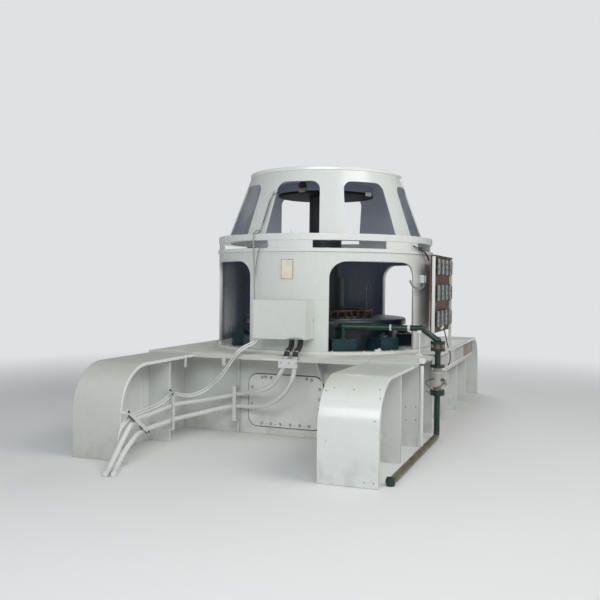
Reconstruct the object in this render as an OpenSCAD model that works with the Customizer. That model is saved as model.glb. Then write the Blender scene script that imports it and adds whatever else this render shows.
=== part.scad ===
// Hydroelectric generator, the part that stands above the machine hall floor:
// a welded plinth of two long beams, a deck, a round housing with four tall
// openings, a ring band with slots, and a windowed conical top.
// Origin: on the machine axis at floor level. +Z up, -Y is the front.

/* [Plinth beams] */
// length of each beam over its curved ends
beam_l = 5676; // [5200:2:6200]
// width of a beam's bent flange
flange_w = 506; // [440:2:560]
// distance between the inner edges of the two flanges
beam_gap = 1820; // [1780:2:1880]
// thickness of the bent flange plate
flange_t = 30; // [20:1:40]
// height of the flange's top face above the floor
beam_h = 835; // [780:1:880]
// outer radius of the bend at each beam end
bend_r = 420; // [300:2:480]
// thickness of the web plates
web_t = 30; // [20:1:40]
// distance of the web's inner face from the flange's inner edge
web_in = 270; // [150:1:300]
// thickness of the stiffening ribs
rib_t = 24; // [12:1:40]
// how far the ribs stay inside the flange edges
rib_inset = 40; // [10:1:60]
// distance of the inner pair of ribs from the machine axis
rib_y1 = 440; // [380:2:500]
// distance of the middle pair of ribs from the machine axis
rib_y2 = 1180; // [1120:2:1240]
// distance of the outer pair of ribs from the machine axis
rib_y3 = 1920; // [1840:2:2000]

/* [Walls and deck] */
// thickness of the cross walls between the beams
wall_t = 20; // [12:1:30]
// thickness of the deck plate
deck_t = 20; // [15:1:40]
// distance of the deck's side edges beyond the housing wall
deck_side = 204; // [186:2:250]
// distance of the deck's front and rear edges beyond the housing wall
deck_front = 294; // [226:2:364]
// height of the fascia under the deck's front and rear edges
fascia_h = 50; // [36:1:60]
// thickness of the fascia plates
fascia_t = 15; // [8:1:25]
// width of the bolted hatch in the front wall
hatch_w = 822; // [700:2:900]
// height of the bolted hatch
hatch_h = 542; // [460:2:580]
// height of the hatch's lower edge above the floor
hatch_z = 86; // [60:1:110]
// corner radius of the hatch
hatch_r = 100; // [60:1:140]
// thickness of the hatch cover
hatch_t = 14; // [8:1:20]
// gap between the triangular gussets' tips and the fascia
gusset_gap = 53; // [20:1:120]
// height of the longest triangular gusset
gusset_h = 270; // [200:2:320]
// thickness of the gussets
gusset_t = 16; // [8:1:24]
// height of the gussets at their tips
gusset_lip = 30; // [16:1:50]
// projection of the gussets at their feet
gusset_foot = 20; // [10:1:40]
// distance of the wall's upright from the middle plane
upright_x = 520; // [480:2:600]
// thickness of the wall's upright
upright_w = 20; // [10:1:30]
// projection of the wall's upright
upright_d = 46; // [30:1:60]
// height of the side rails
rail_h = 205; // [160:1:240]
// thickness of the side rail plate
rail_t = 10; // [6:1:14]
// width of the angle along the side rail's lower edge
rail_angle = 34; // [24:1:50]
// distance of the side rails' front end in front of the machine axis
rail_front = 560; // [500:2:600]

/* [Round housing] */
// outer radius of the round housing
drum_r = 1236; // [1200:2:1250]
// thickness of the housing wall
drum_t = 14; // [8:1:24]
// height of the curb ring that the housing stands on
curb_h = 31; // [20:1:50]
// radial width of the curb ring
curb_w = 90; // [70:1:120]
// projection of the curb beyond the housing wall
curb_out = 48; // [20:1:60]
// height of the housing wall's top edge above the deck
drum_h = 1050; // [1025:1:1105]
// half angle of each tall opening
door_half = 24.4; // [20:0.1:28]
// height of the opening's top edge above the deck
door_h = 957; // [885:1:985]
// radius of the opening's upper corners
door_r = 170; // [120:2:200]

/* [Ring band] */
// projection of the band's two flanges beyond the housing wall
band_out = 14; // [2:1:44]
// radial width of the band's lower flange
band_w = 134; // [120:1:150]
// how far the upper flange reaches in beyond the cone's foot
band_in = 12; // [6:1:30]
// how far the posts between the slots stand inside the flanges' rim
post_in = 16; // [10:1:46]
// how far the upper flange stands inside the lower flange's rim
band_up_in = 10; // [0:1:20]
// thickness of the posts between the slots
post_t = 14; // [10:1:24]
// height of the lower flange
band_low_h = 38; // [20:1:50]
// height of the slots
slot_h = 80; // [60:1:100]
// height of the upper flange
band_up_h = 70; // [50:1:90]
// number of slots
slot_n = 6; // [6:1:8]
// angle of each post between two slots
post_a = 23; // [16:0.5:28]
// turn of all the posts from the machine's middle plane
post_turn = 1.2; // [0:0.1:3]

/* [Conical top] */
// distance of the cone's foot inside the flanges' rim
cone_foot = 121; // [106:1:134]
// how much smaller the cone's radius is at its top
cone_in = 273; // [220:1:320]
// height of the cone
cone_h = 731; // [680:1:760]
// thickness of the cone wall, measured level
cone_t = 14; // [10:1:24]
// number of windows that would fill the whole cone, four of them cut
win_n = 8; // [6:1:8]
// width of the single wide opening at the cone's rear
win_rear_w = 1016; // [900:2:1100]
// half angle of each window
win_half = 15.5; // [12:0.25:18]
// height of the windows above the ring band
win_h = 571; // [500:1:620]
// radius of the windows' upper corners
win_r = 105; // [60:1:130]
// height above the ring band where the pillars end and the crown starts
crown_z = 455; // [400:1:480]
// height of the rolled lip at the top edge
lip_h = 34; // [20:1:50]
// projection of the rolled lip
lip_out = 8; // [4:1:16]
// thickness of the top cover
cover_t = 12; // [6:1:24]
// depth of the top cover below the lip's upper edge
cover_drop = 20; // [10:1:34]

/* [Machine inside] */
// radius of the central shaft column
shaft_r = 225; // [180:1:260]
// how much smaller the column's upper part is
shaft_in = 35; // [20:1:60]
// height of the column's thick foot above the deck
shaft_step = 790; // [600:1:860]
// gap between the column and the bearing housing
shaft_gap = 5; // [2:1:20]
// radius of the bearing housing on the deck
pot_r = 860; // [780:2:880]
// height of the bearing housing
pot_h = 340; // [280:2:360]
// projection of the bearing housing's top flange
pot_lip = 90; // [40:1:96]
// thickness of the bearing housing's top flange
pot_flange_t = 75; // [40:1:90]
// rounding of that flange's upper edge
pot_round = 30; // [10:1:36]
// radius of the exciter disc at the column's head
disc_r = 550; // [450:2:600]
// distance of the exciter disc's lower face below the cone's top edge
disc_down = 244; // [236:2:340]
// thickness of the exciter disc
disc_t = 120; // [80:1:126]
// distance of the drive motor from the machine axis
motor_x = 225; // [180:1:280]
// side of the drive motor's foot
motor_w = 150; // [130:1:170]
// thickness of the drive motor's foot
motor_foot = 12; // [8:1:18]
// diameter of the drive motor
motor_d = 110; // [80:1:120]
// height of the drive motor above its foot
motor_h = 60; // [40:1:64]
// radius at which the dark red service ring runs
ring_r = 540; // [440:2:620]
// radius of the service ring's tube
ring_tube = 24; // [16:1:30]
// height of the service ring above the bearing housing
ring_up = 65; // [50:1:90]
// diameter of the service ring's posts
ring_post = 26; // [16:1:36]
// width of a cooler head
cooler_w = 250; // [200:2:280]
// depth of a cooler head, outwards
cooler_d = 200; // [150:2:230]
// gap between a cooler head and the bearing housing
cooler_gap = 2; // [1:1:10]
// angle of the cooler heads from the middle of a tall opening
cooler_a = 15; // [10:0.5:18]
// height of a cooler head
cooler_h = 140; // [110:2:170]
// radius of the casing below the deck
casing_r = 420; // [300:2:500]

/* [Terminal box and cables] */
// width of the terminal box
box_w = 566; // [500:2:640]
// distance of the terminal box's middle to the right of the middle plane
box_x = 16; // [0:1:30]
// height of the terminal box
box_h = 392; // [340:2:440]
// height of the terminal box's lower edge above the deck
box_up = 163; // [125:1:225]
// projection of the terminal box from the housing wall
box_out = 226; // [204:1:260]
// width of the notch in the box's foot
notch_w = 200; // [170:2:210]
// height of that notch
notch_h = 21; // [14:1:30]
// distance of the notch from the middle plane
notch_x = 190; // [165:1:195]
// depth of the notch
notch_d = 40; // [20:1:60]
// diameter of the thick cables
cable_d = 46; // [36:1:56]
// diameter of the thin cables
wire_d = 20; // [14:1:26]
// width of the strap on the wall's upright
strap_w = 40; // [24:1:50]
// thickness of the cable straps
strap_t = 6; // [4:1:8]
// height of the straps' lower edge above the floor
strap_z = 142; // [100:1:150]
// height of the straps
strap_h = 360; // [330:1:400]

/* [Cooling pipe] */
// outer diameter of the cooling pipe
pipe_d = 60; // [50:1:76]
// gap between the deck's edge and the vertical pipe
pipe_gap = 4; // [2:1:50]
// distance of the vertical pipe in front of the machine axis
pipe_y = 720; // [700:2:760]
// height of the level pipe above the deck
pipe_up = 275; // [245:1:305]
// how far before the vertical pipe the level pipe turns down
pipe_kink = 170; // [130:1:200]
// height of the pipe's upright stub above its flange pair
stub_h = 36; // [30:1:60]
// diameter of the cooler's pipe flange
cflange_d = 110; // [90:1:130]
// thickness of the cooler's pipe flange
cflange_t = 20; // [12:1:24]
// diameter of the post under the level pipe
prop_d = 20; // [16:1:36]
// distance of that post before the vertical pipe
prop_in = 188; // [150:1:230]
// side of that post's foot and saddle
prop_w = 70; // [50:1:90]
// thickness of that post's foot and saddle
prop_t = 14; // [8:1:18]
// distance of the pipe's inner drop inside its cooler head's outer face
drop_in = 62; // [60:1:90]
// length of the pipe along the floor
floor_run = 1900; // [1500:2:1960]
// diameter of the pipe flanges
pflange_d = 150; // [120:1:170]
// centre line radius of the pipe's elbow at the floor
elbow_r = 60; // [50:1:90]
// thickness of the pipe flanges
pflange_t = 26; // [16:1:32]
// height of the upper flange's lower face above the deck
pair_up = 119; // [105:1:135]
// height of the wafer between the upper two flanges
wafer_h = 44; // [30:1:60]
// diameter of that wafer
wafer_d = 110; // [90:1:130]
// distance of the joint above the flow meter below the deck
meter_down = 107; // [75:1:135]
// distance between the flow meter's two joints
meter_span = 258; // [220:1:288]
// diameter of the flow meter's body
meter_d = 176; // [150:1:190]
// length of the flow meter's display head
meter_head = 60; // [40:1:90]
// diameter of the white drain conduit
drain_d = 36; // [24:1:44]
// distance of the drain conduit behind the deck's front edge
drain_in = 90; // [60:1:120]
// height of the drain conduit above the deck
drain_up = 40; // [20:1:60]

/* [Resistor rack] */
// length of the rack
rack_l = 1120; // [1000:2:1200]
// distance of the rack's middle behind the machine axis
rack_mid = 140; // [0:2:200]
// height of the rack's lower edge above the deck
rack_up = 195; // [145:1:245]
// height of the rack
rack_h = 835; // [700:1:880]
// distance of the rack's board inside the deck's side edge
rack_in = 95; // [80:1:110]
// thickness of the rack's boards
board_t = 14; // [8:1:20]
// thickness of the rack's posts and bars
bar_t = 30; // [20:1:40]
// diameter of the resistor elements
elem_d = 64; // [50:1:76]
// length of the resistor elements
elem_l = 154; // [130:2:180]
// distance between the rows of resistor elements
elem_pitch = 283; // [240:1:300]
// distance between the columns of resistor elements
elem_step = 245; // [200:1:270]
// height of the lowest row above the rack's lower edge
elem_z = 80; // [50:1:100]
// gap between the elements and the board
elem_gap = 6; // [4:1:8]
// width and height of the elements' clips
clip_w = 24; // [16:1:30]
// width of the small junction box
jbox_w = 50; // [40:1:70]
// projection of the small junction box
jbox_d = 46; // [30:1:60]
// height of the small junction box
jbox_h = 88; // [70:1:110]
// height of that box's lower edge above the deck
jbox_up = 740; // [700:1:790]
// azimuth of that box, from the front
jbox_a = 76.5; // [72:0.5:80]

/* [Hidden] */
$fn = 180;
deck_z = beam_h + deck_t;
deck_w = 2 * (drum_r + deck_side);
deck_edge = drum_r + deck_front;
deck_d = 2 * deck_edge;
half_gap = beam_gap / 2;
side_x = max(deck_w / 2, half_gap + flange_w);
web_x = half_gap + web_in;
web_h = beam_h - flange_t;
rail_z = web_h - rail_h;
rib_out_x = half_gap + flange_w - rib_inset;
rib_in_x = half_gap + rib_inset;
wall_y = rib_y2 + rib_t / 2;
wall_face = wall_y + wall_t;
gusset_d = deck_edge - fascia_t - gusset_gap - wall_face;
fascia_z = deck_z - fascia_h;
curb_z = deck_z + curb_h;
drum_top = deck_z + drum_h;
door_top = deck_z + door_h;
band_r = drum_r + band_out;
post_r = band_r - post_in;
band_z = drum_top;
cone_z = band_z + band_low_h + slot_h + band_up_h;
cone_r0 = band_r - cone_foot;
cone_r1 = cone_r0 - cone_in;
top_z = cone_z + cone_h;
band_up_ri = cone_r0 - cone_t - band_in;
pot_flange_r = pot_r + pot_lip;
disc_z = top_z - disc_down;
box_z = deck_z + box_up;
box_y = drum_r + box_out;
notch_r = (notch_w * notch_w / 4 + notch_h * notch_h) / (2 * notch_h);
pipe_x = side_x + pipe_gap + pipe_d / 2;
pipe_z = deck_z + pipe_up;
ball_d = pipe_d * 17 / 15;
drop_r = pot_r + cooler_gap + cooler_d - drop_in;
drop_x = drop_r * sin(45 - cooler_a);
drop_y = drop_r * cos(45 - cooler_a);
run_l = norm([pipe_x - drop_x, drop_y - pipe_y]);
run_a = atan2(drop_y - pipe_y, pipe_x - drop_x);
pair_z = deck_z + pair_up;
meter_top = deck_z - meter_down;
meter_low = meter_top - meter_span;
rack_z = deck_z + rack_up;
rack_x = deck_w / 2 - rack_in;
steps = 14;

// Places along, across, out and up. They are given for the sizes as they stand
// above, and these tables carry them with those sizes when they change.
function along(y) = lookup(y, [[-3400, -beam_l * 3400 / 5676],
    [-2838, -beam_l / 2], [-1920, -rib_y3], [-1530, -deck_edge],
    [-1258, -wall_face - upright_d], [0, 0]]);
function across(x) = sign(x) * lookup(abs(x), [[0, 0], [520, upright_x],
    [910, half_gap], [1180, web_x], [1376, rib_out_x]]);
function out(r) = lookup(r, [[0, 0], [856, cone_r1], [1129, cone_r0],
    [1236, drum_r], [1250, band_r], [1462, box_y]]);
function up(z) = lookup(z, [[0, 0], [805, web_h], [835, beam_h], [855, deck_z],
    [1018, box_z], [1410, box_z + box_h], [1905, drum_top], [2093, cone_z],
    [2824, top_z]]);
function plinth_route(p) = [for (q = p) let (k = lookup(q[2], [[930, 0], [1000, 1]]))
    [across(q[0]), (1 - k) * along(q[1]) - k * out(-q[1]), up(q[2])]];
function round_route(p) = [for (q = p) let (r = norm([q[0], q[1]]))
    [q[0] * out(r) / r, q[1] * out(r) / r, up(q[2])]];

// routes of the cables, point by point
function cable_a() = plinth_route([[126, -1380, 1018], [127, -1384, 985], [134, -1440, 930],
    [139, -1536, 904], [140, -1567, 850], [128, -1567, 790], [84, -1562, 700],
    [20, -1520, 615], [-70, -1480, 540], [-200, -1440, 488],
    [-360, -1345, 446], [-512, -1296, 412], [-650, -1340, 384],
    [-780, -1500, 366], [-850, -1720, 366], [-876, -1950, 376],
    [-882, -2200, 366], [-876, -2450, 352], [-866, -2700, 340],
    [-847, -2860, 245], [-824, -3010, 142], [-792, -3140, 70],
    [-757, -3240, 34], [-728, -3320, 24]]);
function cable_b() = plinth_route([[220, -1380, 1018], [221, -1384, 985], [224, -1440, 930],
    [229, -1536, 904], [233, -1567, 850], [233, -1568, 790], [212, -1566, 660],
    [160, -1540, 560], [70, -1500, 460], [-30, -1460, 385],
    [-150, -1400, 330], [-330, -1320, 298], [-512, -1296, 288],
    [-660, -1370, 266], [-780, -1520, 240], [-850, -1720, 230],
    [-876, -1950, 233], [-880, -2200, 228], [-876, -2430, 226],
    [-862, -2620, 222], [-822, -2790, 186], [-802, -2940, 116],
    [-763, -3090, 52], [-711, -3210, 26], [-664, -3300, 24]]);
function cable_c() = plinth_route([[-256, -1425, 1018], [-257, -1428, 1000], [-288, -1500, 966],
    [-332, -1560, 934], [-372, -1585, 897], [-412, -1585, 852], [-446, -1578, 812],
    [-505, -1564, 735], [-611, -1552, 606], [-700, -1540, 530],
    [-780, -1590, 470], [-850, -1740, 448], [-890, -1930, 484],
    [-884, -2060, 478], [-886, -2240, 432], [-884, -2400, 417],
    [-882, -2620, 405], [-880, -2740, 390], [-889, -2820, 352],
    [-903, -2868, 270], [-903, -2885, 180], [-880, -2895, 90],
    [-840, -2895, 32], [-815, -2890, 25]]);
function conduit_a() = round_route([[-257, -1450, 1410], [-259, -1446, 1440], [-290, -1384, 1540],
    [-322, -1318, 1700], [-352, -1262, 1840], [-368, -1234, 1900],
    [-376, -1226, 1960], [-378, -1222, 2050], [-372, -1205, 2105],
    [-362, -1150, 2128], [-354, -1086, 2134], [-355, -1066, 2160],
    [-329, -1043, 2240], [-298, -983, 2420], [-273, -936, 2560]]);

// Helpers

// ring segment between two radii, centred on an azimuth from the front
module arc_seg(ri, ro, z0, z1, az, half) {
    rotate([0, 0, az - 90 - half])
        rotate_extrude(angle = 2 * half)
            translate([ri, z0]) square([ro - ri, z1 - z0]);
}

// full ring of rectangular section
module ring(ri, ro, z0, z1) {
    translate([0, 0, z0]) difference() {
        cylinder(r = ro, h = z1 - z0);
        translate([0, 0, -1]) cylinder(r = ri, h = z1 - z0 + 2);
    }
}

// outline of an opening: straight foot, rounded upper corners
function arch_pts(w0, w1, h, r) = concat(
    [[-w0, 0], [w0, 0]],
    [for (i = [0:steps]) let (a = 90 * i / steps)
        [w1 - r + r * cos(a), h - r + r * sin(a)]],
    [for (i = [0:steps]) let (a = 90 + 90 * i / steps)
        [-w1 + r + r * cos(a), h - r + r * sin(a)]]);

// prism of that outline, standing across the wall at an azimuth
module opening(az, w0, w1, z0, h, r, d0, d1) {
    rotate([0, 0, az]) translate([0, -d0, z0]) rotate([90, 0, 0])
        linear_extrude(height = d1 - d0)
            polygon(arch_pts(w0, w1, h, r));
}

// box between two corners
module span(a, b) {
    translate(a) cube([b[0] - a[0], b[1] - a[1], b[2] - a[2]]);
}

// rounded plate in the XZ plane, its front face at y = 0
module plate_xz(w, h, r, t) {
    rotate([-90, 0, 0]) translate([0, -h, 0]) linear_extrude(height = t)
        polygon([for (c = [[1, 1, 0], [-1, 1, 90], [-1, -1, 180], [1, -1, 270]])
            for (i = [0:8]) let (a = c[2] + 90 * i / 8)
                [c[0] * (w / 2 - r) + r * cos(a),
                 h / 2 + c[1] * (h / 2 - r) + r * sin(a)]]);
}

// Swept cables: one closed mesh along the route's points
function unit(v) = v / norm(v);
function tangent(p, i) = unit(p[min(i + 1, len(p) - 1)] - p[max(i - 1, 0)]);
function side(t) = abs(t[2]) > 0.95 ? unit(cross(t, [0, 1, 0]))
                                    : unit(cross(t, [0, 0, 1]));
function smooth(p, n) = concat([for (i = [0:len(p) - 2], k = [0:n - 1])
    let (a = p[max(i - 1, 0)], b = p[i], c = p[i + 1],
         d = p[min(i + 2, len(p) - 1)], t = k / n)
    0.5 * (2 * b + (c - a) * t + (2 * a - 5 * b + 4 * c - d) * t * t
        + (3 * b - a - 3 * c + d) * t * t * t)], [p[len(p) - 1]]);
module tube(pts, d, m = 8) {
    n = len(pts);
    v = [for (i = [0:n - 1])
        let (t = tangent(pts, i), s = side(t), u = cross(t, s))
        for (k = [0:m - 1]) let (a = 360 * k / m)
            pts[i] + d / 2 * (cos(a) * s + sin(a) * u)];
    f = concat(
        [[for (k = [m - 1:-1:0]) k]],
        [for (i = [0:n - 2], k = [0:m - 1])
            [i * m + k, i * m + (k + 1) % m,
             (i + 1) * m + (k + 1) % m, (i + 1) * m + k]],
        [[for (k = [0:m - 1]) (n - 1) * m + k]]);
    polyhedron(points = v, faces = [for (q = f) [for (j = [len(q) - 1:-1:0]) q[j]]], convexity = 6);
}

// Plinth

// one plate bent down to the floor at both ends
module flange(s) {
    y = beam_l / 2;
    x0 = s > 0 ? half_gap : -half_gap - flange_w;
    color("#e4e4df") {
        translate([x0, -(y - bend_r), beam_h - flange_t])
            cube([flange_w, 2 * (y - bend_r), flange_t]);
        for (e = [0, 1]) mirror([0, e, 0]) {
            translate([x0, -y, 0]) cube([flange_w, flange_t, beam_h - bend_r]);
            translate([x0, -y + bend_r, beam_h - bend_r])
                rotate([0, 90, 0]) rotate([0, 0, 180])
                    rotate_extrude(angle = 90)
                        translate([bend_r - flange_t, 0])
                            square([flange_t, flange_w]);
        }
    }
}

// web plate inside the bent flange
module web(s) {
    y = beam_l / 2 - flange_t - 1;
    r = bend_r - flange_t;
    x0 = s > 0 ? web_x : -web_x - web_t;
    color("#dcdcd7") translate([x0, 0, 0]) rotate([90, 0, 90])
        linear_extrude(height = web_t)
            polygon(concat([[-y, 0], [y, 0]],
                [for (i = [0:12]) let (a = 90 * i / 12)
                    [y - r + r * cos(a), web_h - r + r * sin(a)]],
                [for (i = [0:12]) let (a = 90 + 90 * i / 12)
                    [-y + r + r * cos(a), web_h - r + r * sin(a)]]));
}

// stiffening ribs outside and inside the web of one beam
module ribs(s) {
    color("#d8d8d3") for (y = [-rib_y3, -rib_y2, -rib_y1, rib_y1, rib_y2, rib_y3]) {
        mirror([s > 0 ? 0 : 1, 0, 0]) {
            span([web_x + web_t, y - rib_t / 2, 0],
                 [rib_out_x, y + rib_t / 2, web_h]);
            if (abs(y) > wall_y || abs(y) < rib_y2)
                span([rib_in_x, y - rib_t / 2, 0],
                     [web_x, y + rib_t / 2, web_h]);
        }
    }
}

// cross wall with its upright and the gusset under the deck's edge
module cross_wall(front) {
    mirror([0, front ? 0 : 1, 0]) color("#d4d4cf") {
        span([-web_x, -wall_face, 0], [web_x, -wall_y, web_h]);
        span([-half_gap, -wall_face, web_h], [half_gap, -wall_y, beam_h]);
        span([-upright_x - upright_w / 2, -wall_face - upright_d, 0],
             [-upright_x + upright_w / 2, -wall_face, beam_h]);
        translate([across(410) - gusset_t / 2, -wall_face, beam_h])
            rotate([90, 0, 90]) linear_extrude(height = gusset_t)
                polygon([[0, 0], [-gusset_d, 0], [-gusset_d, -gusset_lip],
                         [-gusset_foot, -gusset_h], [0, -gusset_h]]);
    }
}

module hatch() {
    color("#dededa")
        translate([0, -wall_face - hatch_t, hatch_z])
            plate_xz(hatch_w, hatch_h, hatch_r, hatch_t);
}

// cover plate along the ribs' outer edges, with an angle along its foot
module side_rail(s) {
    y0 = -rail_front;
    y1 = beam_l / 2 - bend_r;
    mirror([s > 0 ? 0 : 1, 0, 0]) {
        color("#cfc9c4") span([rib_out_x, y0, rail_z + rail_angle],
                              [rib_out_x + rail_t, y1, web_h]);
        color("#e8e8e4") span([rib_out_x, y0, rail_z],
                              [rib_out_x + rail_angle, y1, rail_z + rail_t]);
        color("#e8e8e4") span([rib_out_x, y0, rail_z + rail_t],
                              [rib_out_x + rail_t, y1, rail_z + rail_angle]);
    }
}

module deck() {
    color("#b9bbb0") {
        span([-deck_w / 2, -deck_d / 2, beam_h], [deck_w / 2, deck_d / 2, deck_z]);
        for (s = [-1, 1])
            translate([-half_gap, s > 0 ? deck_edge - fascia_t : -deck_edge, fascia_z])
                cube([beam_gap, fascia_t, beam_h - fascia_z]);
    }
}

module casing() {
    color("#8f9496") cylinder(r = casing_r, h = beam_h);
}

// Round housing

module curb_ring() {
    color("#e6e6e1")
        ring(drum_r + curb_out - curb_w, drum_r + curb_out, deck_z, curb_z);
}

// a quarter of the housing wall: one panel with half an opening on each side
module drum_quarter(az) {
    w = drum_r * sin(door_half);
    color("#e2e2dd") difference() {
        arc_seg(drum_r - drum_t, drum_r, curb_z, drum_top, az, 45);
        for (s = [-1, 1])
            opening(az + s * 45, w, w, curb_z - 5, door_top - curb_z + 5,
                    door_r, drum_r / 2, drum_r * 1.2);
    }
}

// Ring band

module band_lower() {
    color("#e4e4df")
        ring(band_r - band_w, band_r, band_z, band_z + band_low_h);
}

module band_posts() {
    color("#dedfda") for (i = [0:slot_n - 1])
        arc_seg(post_r - post_t, post_r, band_z + band_low_h,
                band_z + band_low_h + slot_h, i * 360 / slot_n + post_turn, post_a / 2);
}

module band_upper() {
    color("#e6e6e1")
        ring(band_up_ri, band_r - band_up_in, band_z + band_low_h + slot_h, cone_z);
}

// Conical top

// radius of the cone's outer face at a height above its foot
function cone_at(z) = cone_r0 + (cone_r1 - cone_r0) * z / cone_h;

module cone_shell(z0, z1) {
    rotate_extrude()
        polygon([[cone_at(z0) - cone_t, cone_z + z0], [cone_at(z0), cone_z + z0],
                 [cone_at(z1), cone_z + z1], [cone_at(z1) - cone_t, cone_z + z1]]);
}

// four windows, and one wide opening opposite them
module windows() {
    opening(180 + 180 / win_n, win_rear_w / 2, win_rear_w / 2,
            cone_z - 20, win_h + 20, win_r, cone_r1 / 2, cone_r0 * 1.2);
    for (i = [-1:2])
        opening(i * 360 / win_n,
                cone_at(-20) * sin(win_half), cone_at(win_h) * sin(win_half),
                cone_z - 20, win_h + 20, win_r, cone_r1 / 2, cone_r0 * 1.2);
}

module cone_pillars() {
    color("#dfe2e0") difference() {
        cone_shell(0, crown_z);
        windows();
    }
}

module cone_crown() {
    color("#dfe2e0") difference() {
        cone_shell(crown_z, cone_h - lip_h);
        windows();
    }
}

// top cover with the rolled lip round it
module cone_cover() {
    r = cone_at(cone_h - lip_h);
    color("#eceae4") rotate_extrude()
        polygon([[0, top_z - cover_drop - cover_t], [r - cone_t, top_z - cover_drop - cover_t],
                 [r - cone_t, top_z - lip_h], [r + lip_out, top_z - lip_h],
                 [r + lip_out, top_z - 6], [r + lip_out - 6, top_z],
                 [r - cone_t, top_z], [r - cone_t, top_z - cover_drop],
                 [0, top_z - cover_drop]]);
}

// Machine inside

// oil tub of the bearing with its thick cover
module bearing_housing() {
    r = pot_r + pot_lip;
    color("#22303f") translate([0, 0, deck_z]) rotate_extrude()
        polygon(concat([[shaft_r + shaft_gap, 0], [pot_r, 0],
            [pot_r, pot_h - pot_flange_t], [r, pot_h - pot_flange_t]],
            [for (a = [0:22.5:90]) [r - pot_round + pot_round * cos(a),
                pot_h - pot_round + pot_round * sin(a)]],
            [[shaft_r + shaft_gap, pot_h]]));
}

// heads of the oil coolers, two in each tall opening
module coolers() {
    color("#1f4a52") for (a = [45:90:315], e = [-1, 1])
        rotate([0, 0, a + e * cooler_a])
            translate([-cooler_w / 2, -pot_r - cooler_gap - cooler_d, deck_z])
                cube([cooler_w, cooler_d, cooler_h]);
}

module shaft_column() {
    color("#2e3338") translate([0, 0, deck_z]) {
        cylinder(r = shaft_r, h = shaft_step);
        translate([0, 0, shaft_step])
            cylinder(r = shaft_r - shaft_in, h = disc_z - deck_z - shaft_step);
    }
}

module exciter_disc() {
    color("#23272b") translate([0, 0, disc_z]) cylinder(r = disc_r, h = disc_t);
}

// small drive motor on the disc
module disc_motor() {
    color("#8d8f88") translate([-motor_x, 0, disc_z + disc_t]) {
        translate([-motor_w / 2, -motor_w / 2, 0]) cube([motor_w, motor_w, motor_foot]);
        translate([0, 0, motor_foot]) cylinder(d = motor_d, h = motor_h);
    }
}

// dark red service ring on posts above the bearing housing
module service_ring() {
    color("#4a1f1e") translate([0, 0, deck_z + pot_h]) {
        translate([0, 0, ring_up]) rotate_extrude()
            translate([ring_r, 0]) circle(r = ring_tube, $fn = 24);
        for (a = [22.5:45:359]) rotate([0, 0, a]) translate([ring_r, 0, 0])
            cylinder(d = ring_post, h = ring_up);
    }
}

// Terminal box and cables

module terminal_box() {
    color("#e8e8e4") difference() {
        translate([box_x - box_w / 2, -box_y, box_z])
            cube([box_w, box_y - drum_r * 0.93, box_h]);
        translate([0, 0, box_z - box_h]) cylinder(r = drum_r, h = 3 * box_h, $fn = 720);
        translate([notch_x, -box_y + notch_d, box_z + notch_h - notch_r]) rotate([90, 0, 0])
            cylinder(r = notch_r, h = 2 * notch_d);
    }
}

// straps and clamp that carry the cables along the plinth
module cable_straps() {
    y = -wall_face - upright_d;
    f = y - wire_d * 4.5;
    edge = -half_gap + strap_h * 0.2;
    clamp_y = -deck_edge - cable_d * 1.6;
    color("#d9d9d5") {
        // strap on the wall's upright
        span([-upright_x - strap_w / 2, f - strap_t, strap_z],
             [-upright_x + strap_w / 2, f, strap_z + strap_h]);
        for (z = [strap_z, strap_z + strap_h - 16])
            span([-upright_x - strap_w / 2, f, z], [-upright_x + strap_w / 2, y, z + 16]);
        // strap in front of the left beam's front inner rib
        span([across(-841), -rib_y3 - 140, strap_z],
             [across(-841) + strap_t, -rib_y3 - 110, strap_z + strap_h * 1.05]);
        for (z = [strap_z, strap_z + strap_h * 1.05 - 12]) {
            span([-rib_in_x - 12, -rib_y3 - 130, z],
                 [-rib_in_x, -rib_y3 - rib_t / 2, z + 12]);
            span([-rib_in_x - 12, -rib_y3 - 130, z],
                 [across(-841), -rib_y3 - 118, z + 12]);
        }
        // tabs under the left flange's edge and under the deck's edge
        span([-half_gap - 8, -rib_y3 + 220, web_h - 90],
             [-half_gap, -rib_y3 + 260, web_h]);
        span([across(-575), -deck_edge, fascia_z - 70],
             [across(-540), -deck_edge + fascia_t, fascia_z]);
        // clamp at the deck's edge
        span([across(70), clamp_y, up(750)], [across(270), clamp_y + strap_t, up(840)]);
        for (x = [across(70), across(270) - 8])
            span([x, clamp_y + strap_t, up(810)], [x + 8, -deck_edge, up(830)]);
        // bar across the cables on the left beam's edge
        translate([across(-840), along(-2669), up(328)]) rotate([-35.4, 0, 0])
            translate([0, -218, -20]) cube([8, 436, 40]);
        span([-half_gap, -beam_l / 2, up(424)], [across(-840), -beam_l / 2 + flange_t, up(452)]);
    }
}

module cable_upper() {
    color("#e6e8e8") tube(smooth(cable_a(), 2), cable_d);
}

module cable_lower() {
    color("#e6e8e8") tube(smooth(cable_b(), 2), cable_d);
}

module cable_twin() {
    color("#dfe3e3") for (e = [0, 1])
        tube(smooth([for (p = cable_c()) p + e * wire_d
            * (p[2] < up(300) ? [0.85, -1, 0] : [0.85, -0.5, -0.85])], 2), wire_d);
}

module conduit_left() {
    color("#ececea") tube(smooth(conduit_a(), 2), wire_d);
}

// Cooling pipe

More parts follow.
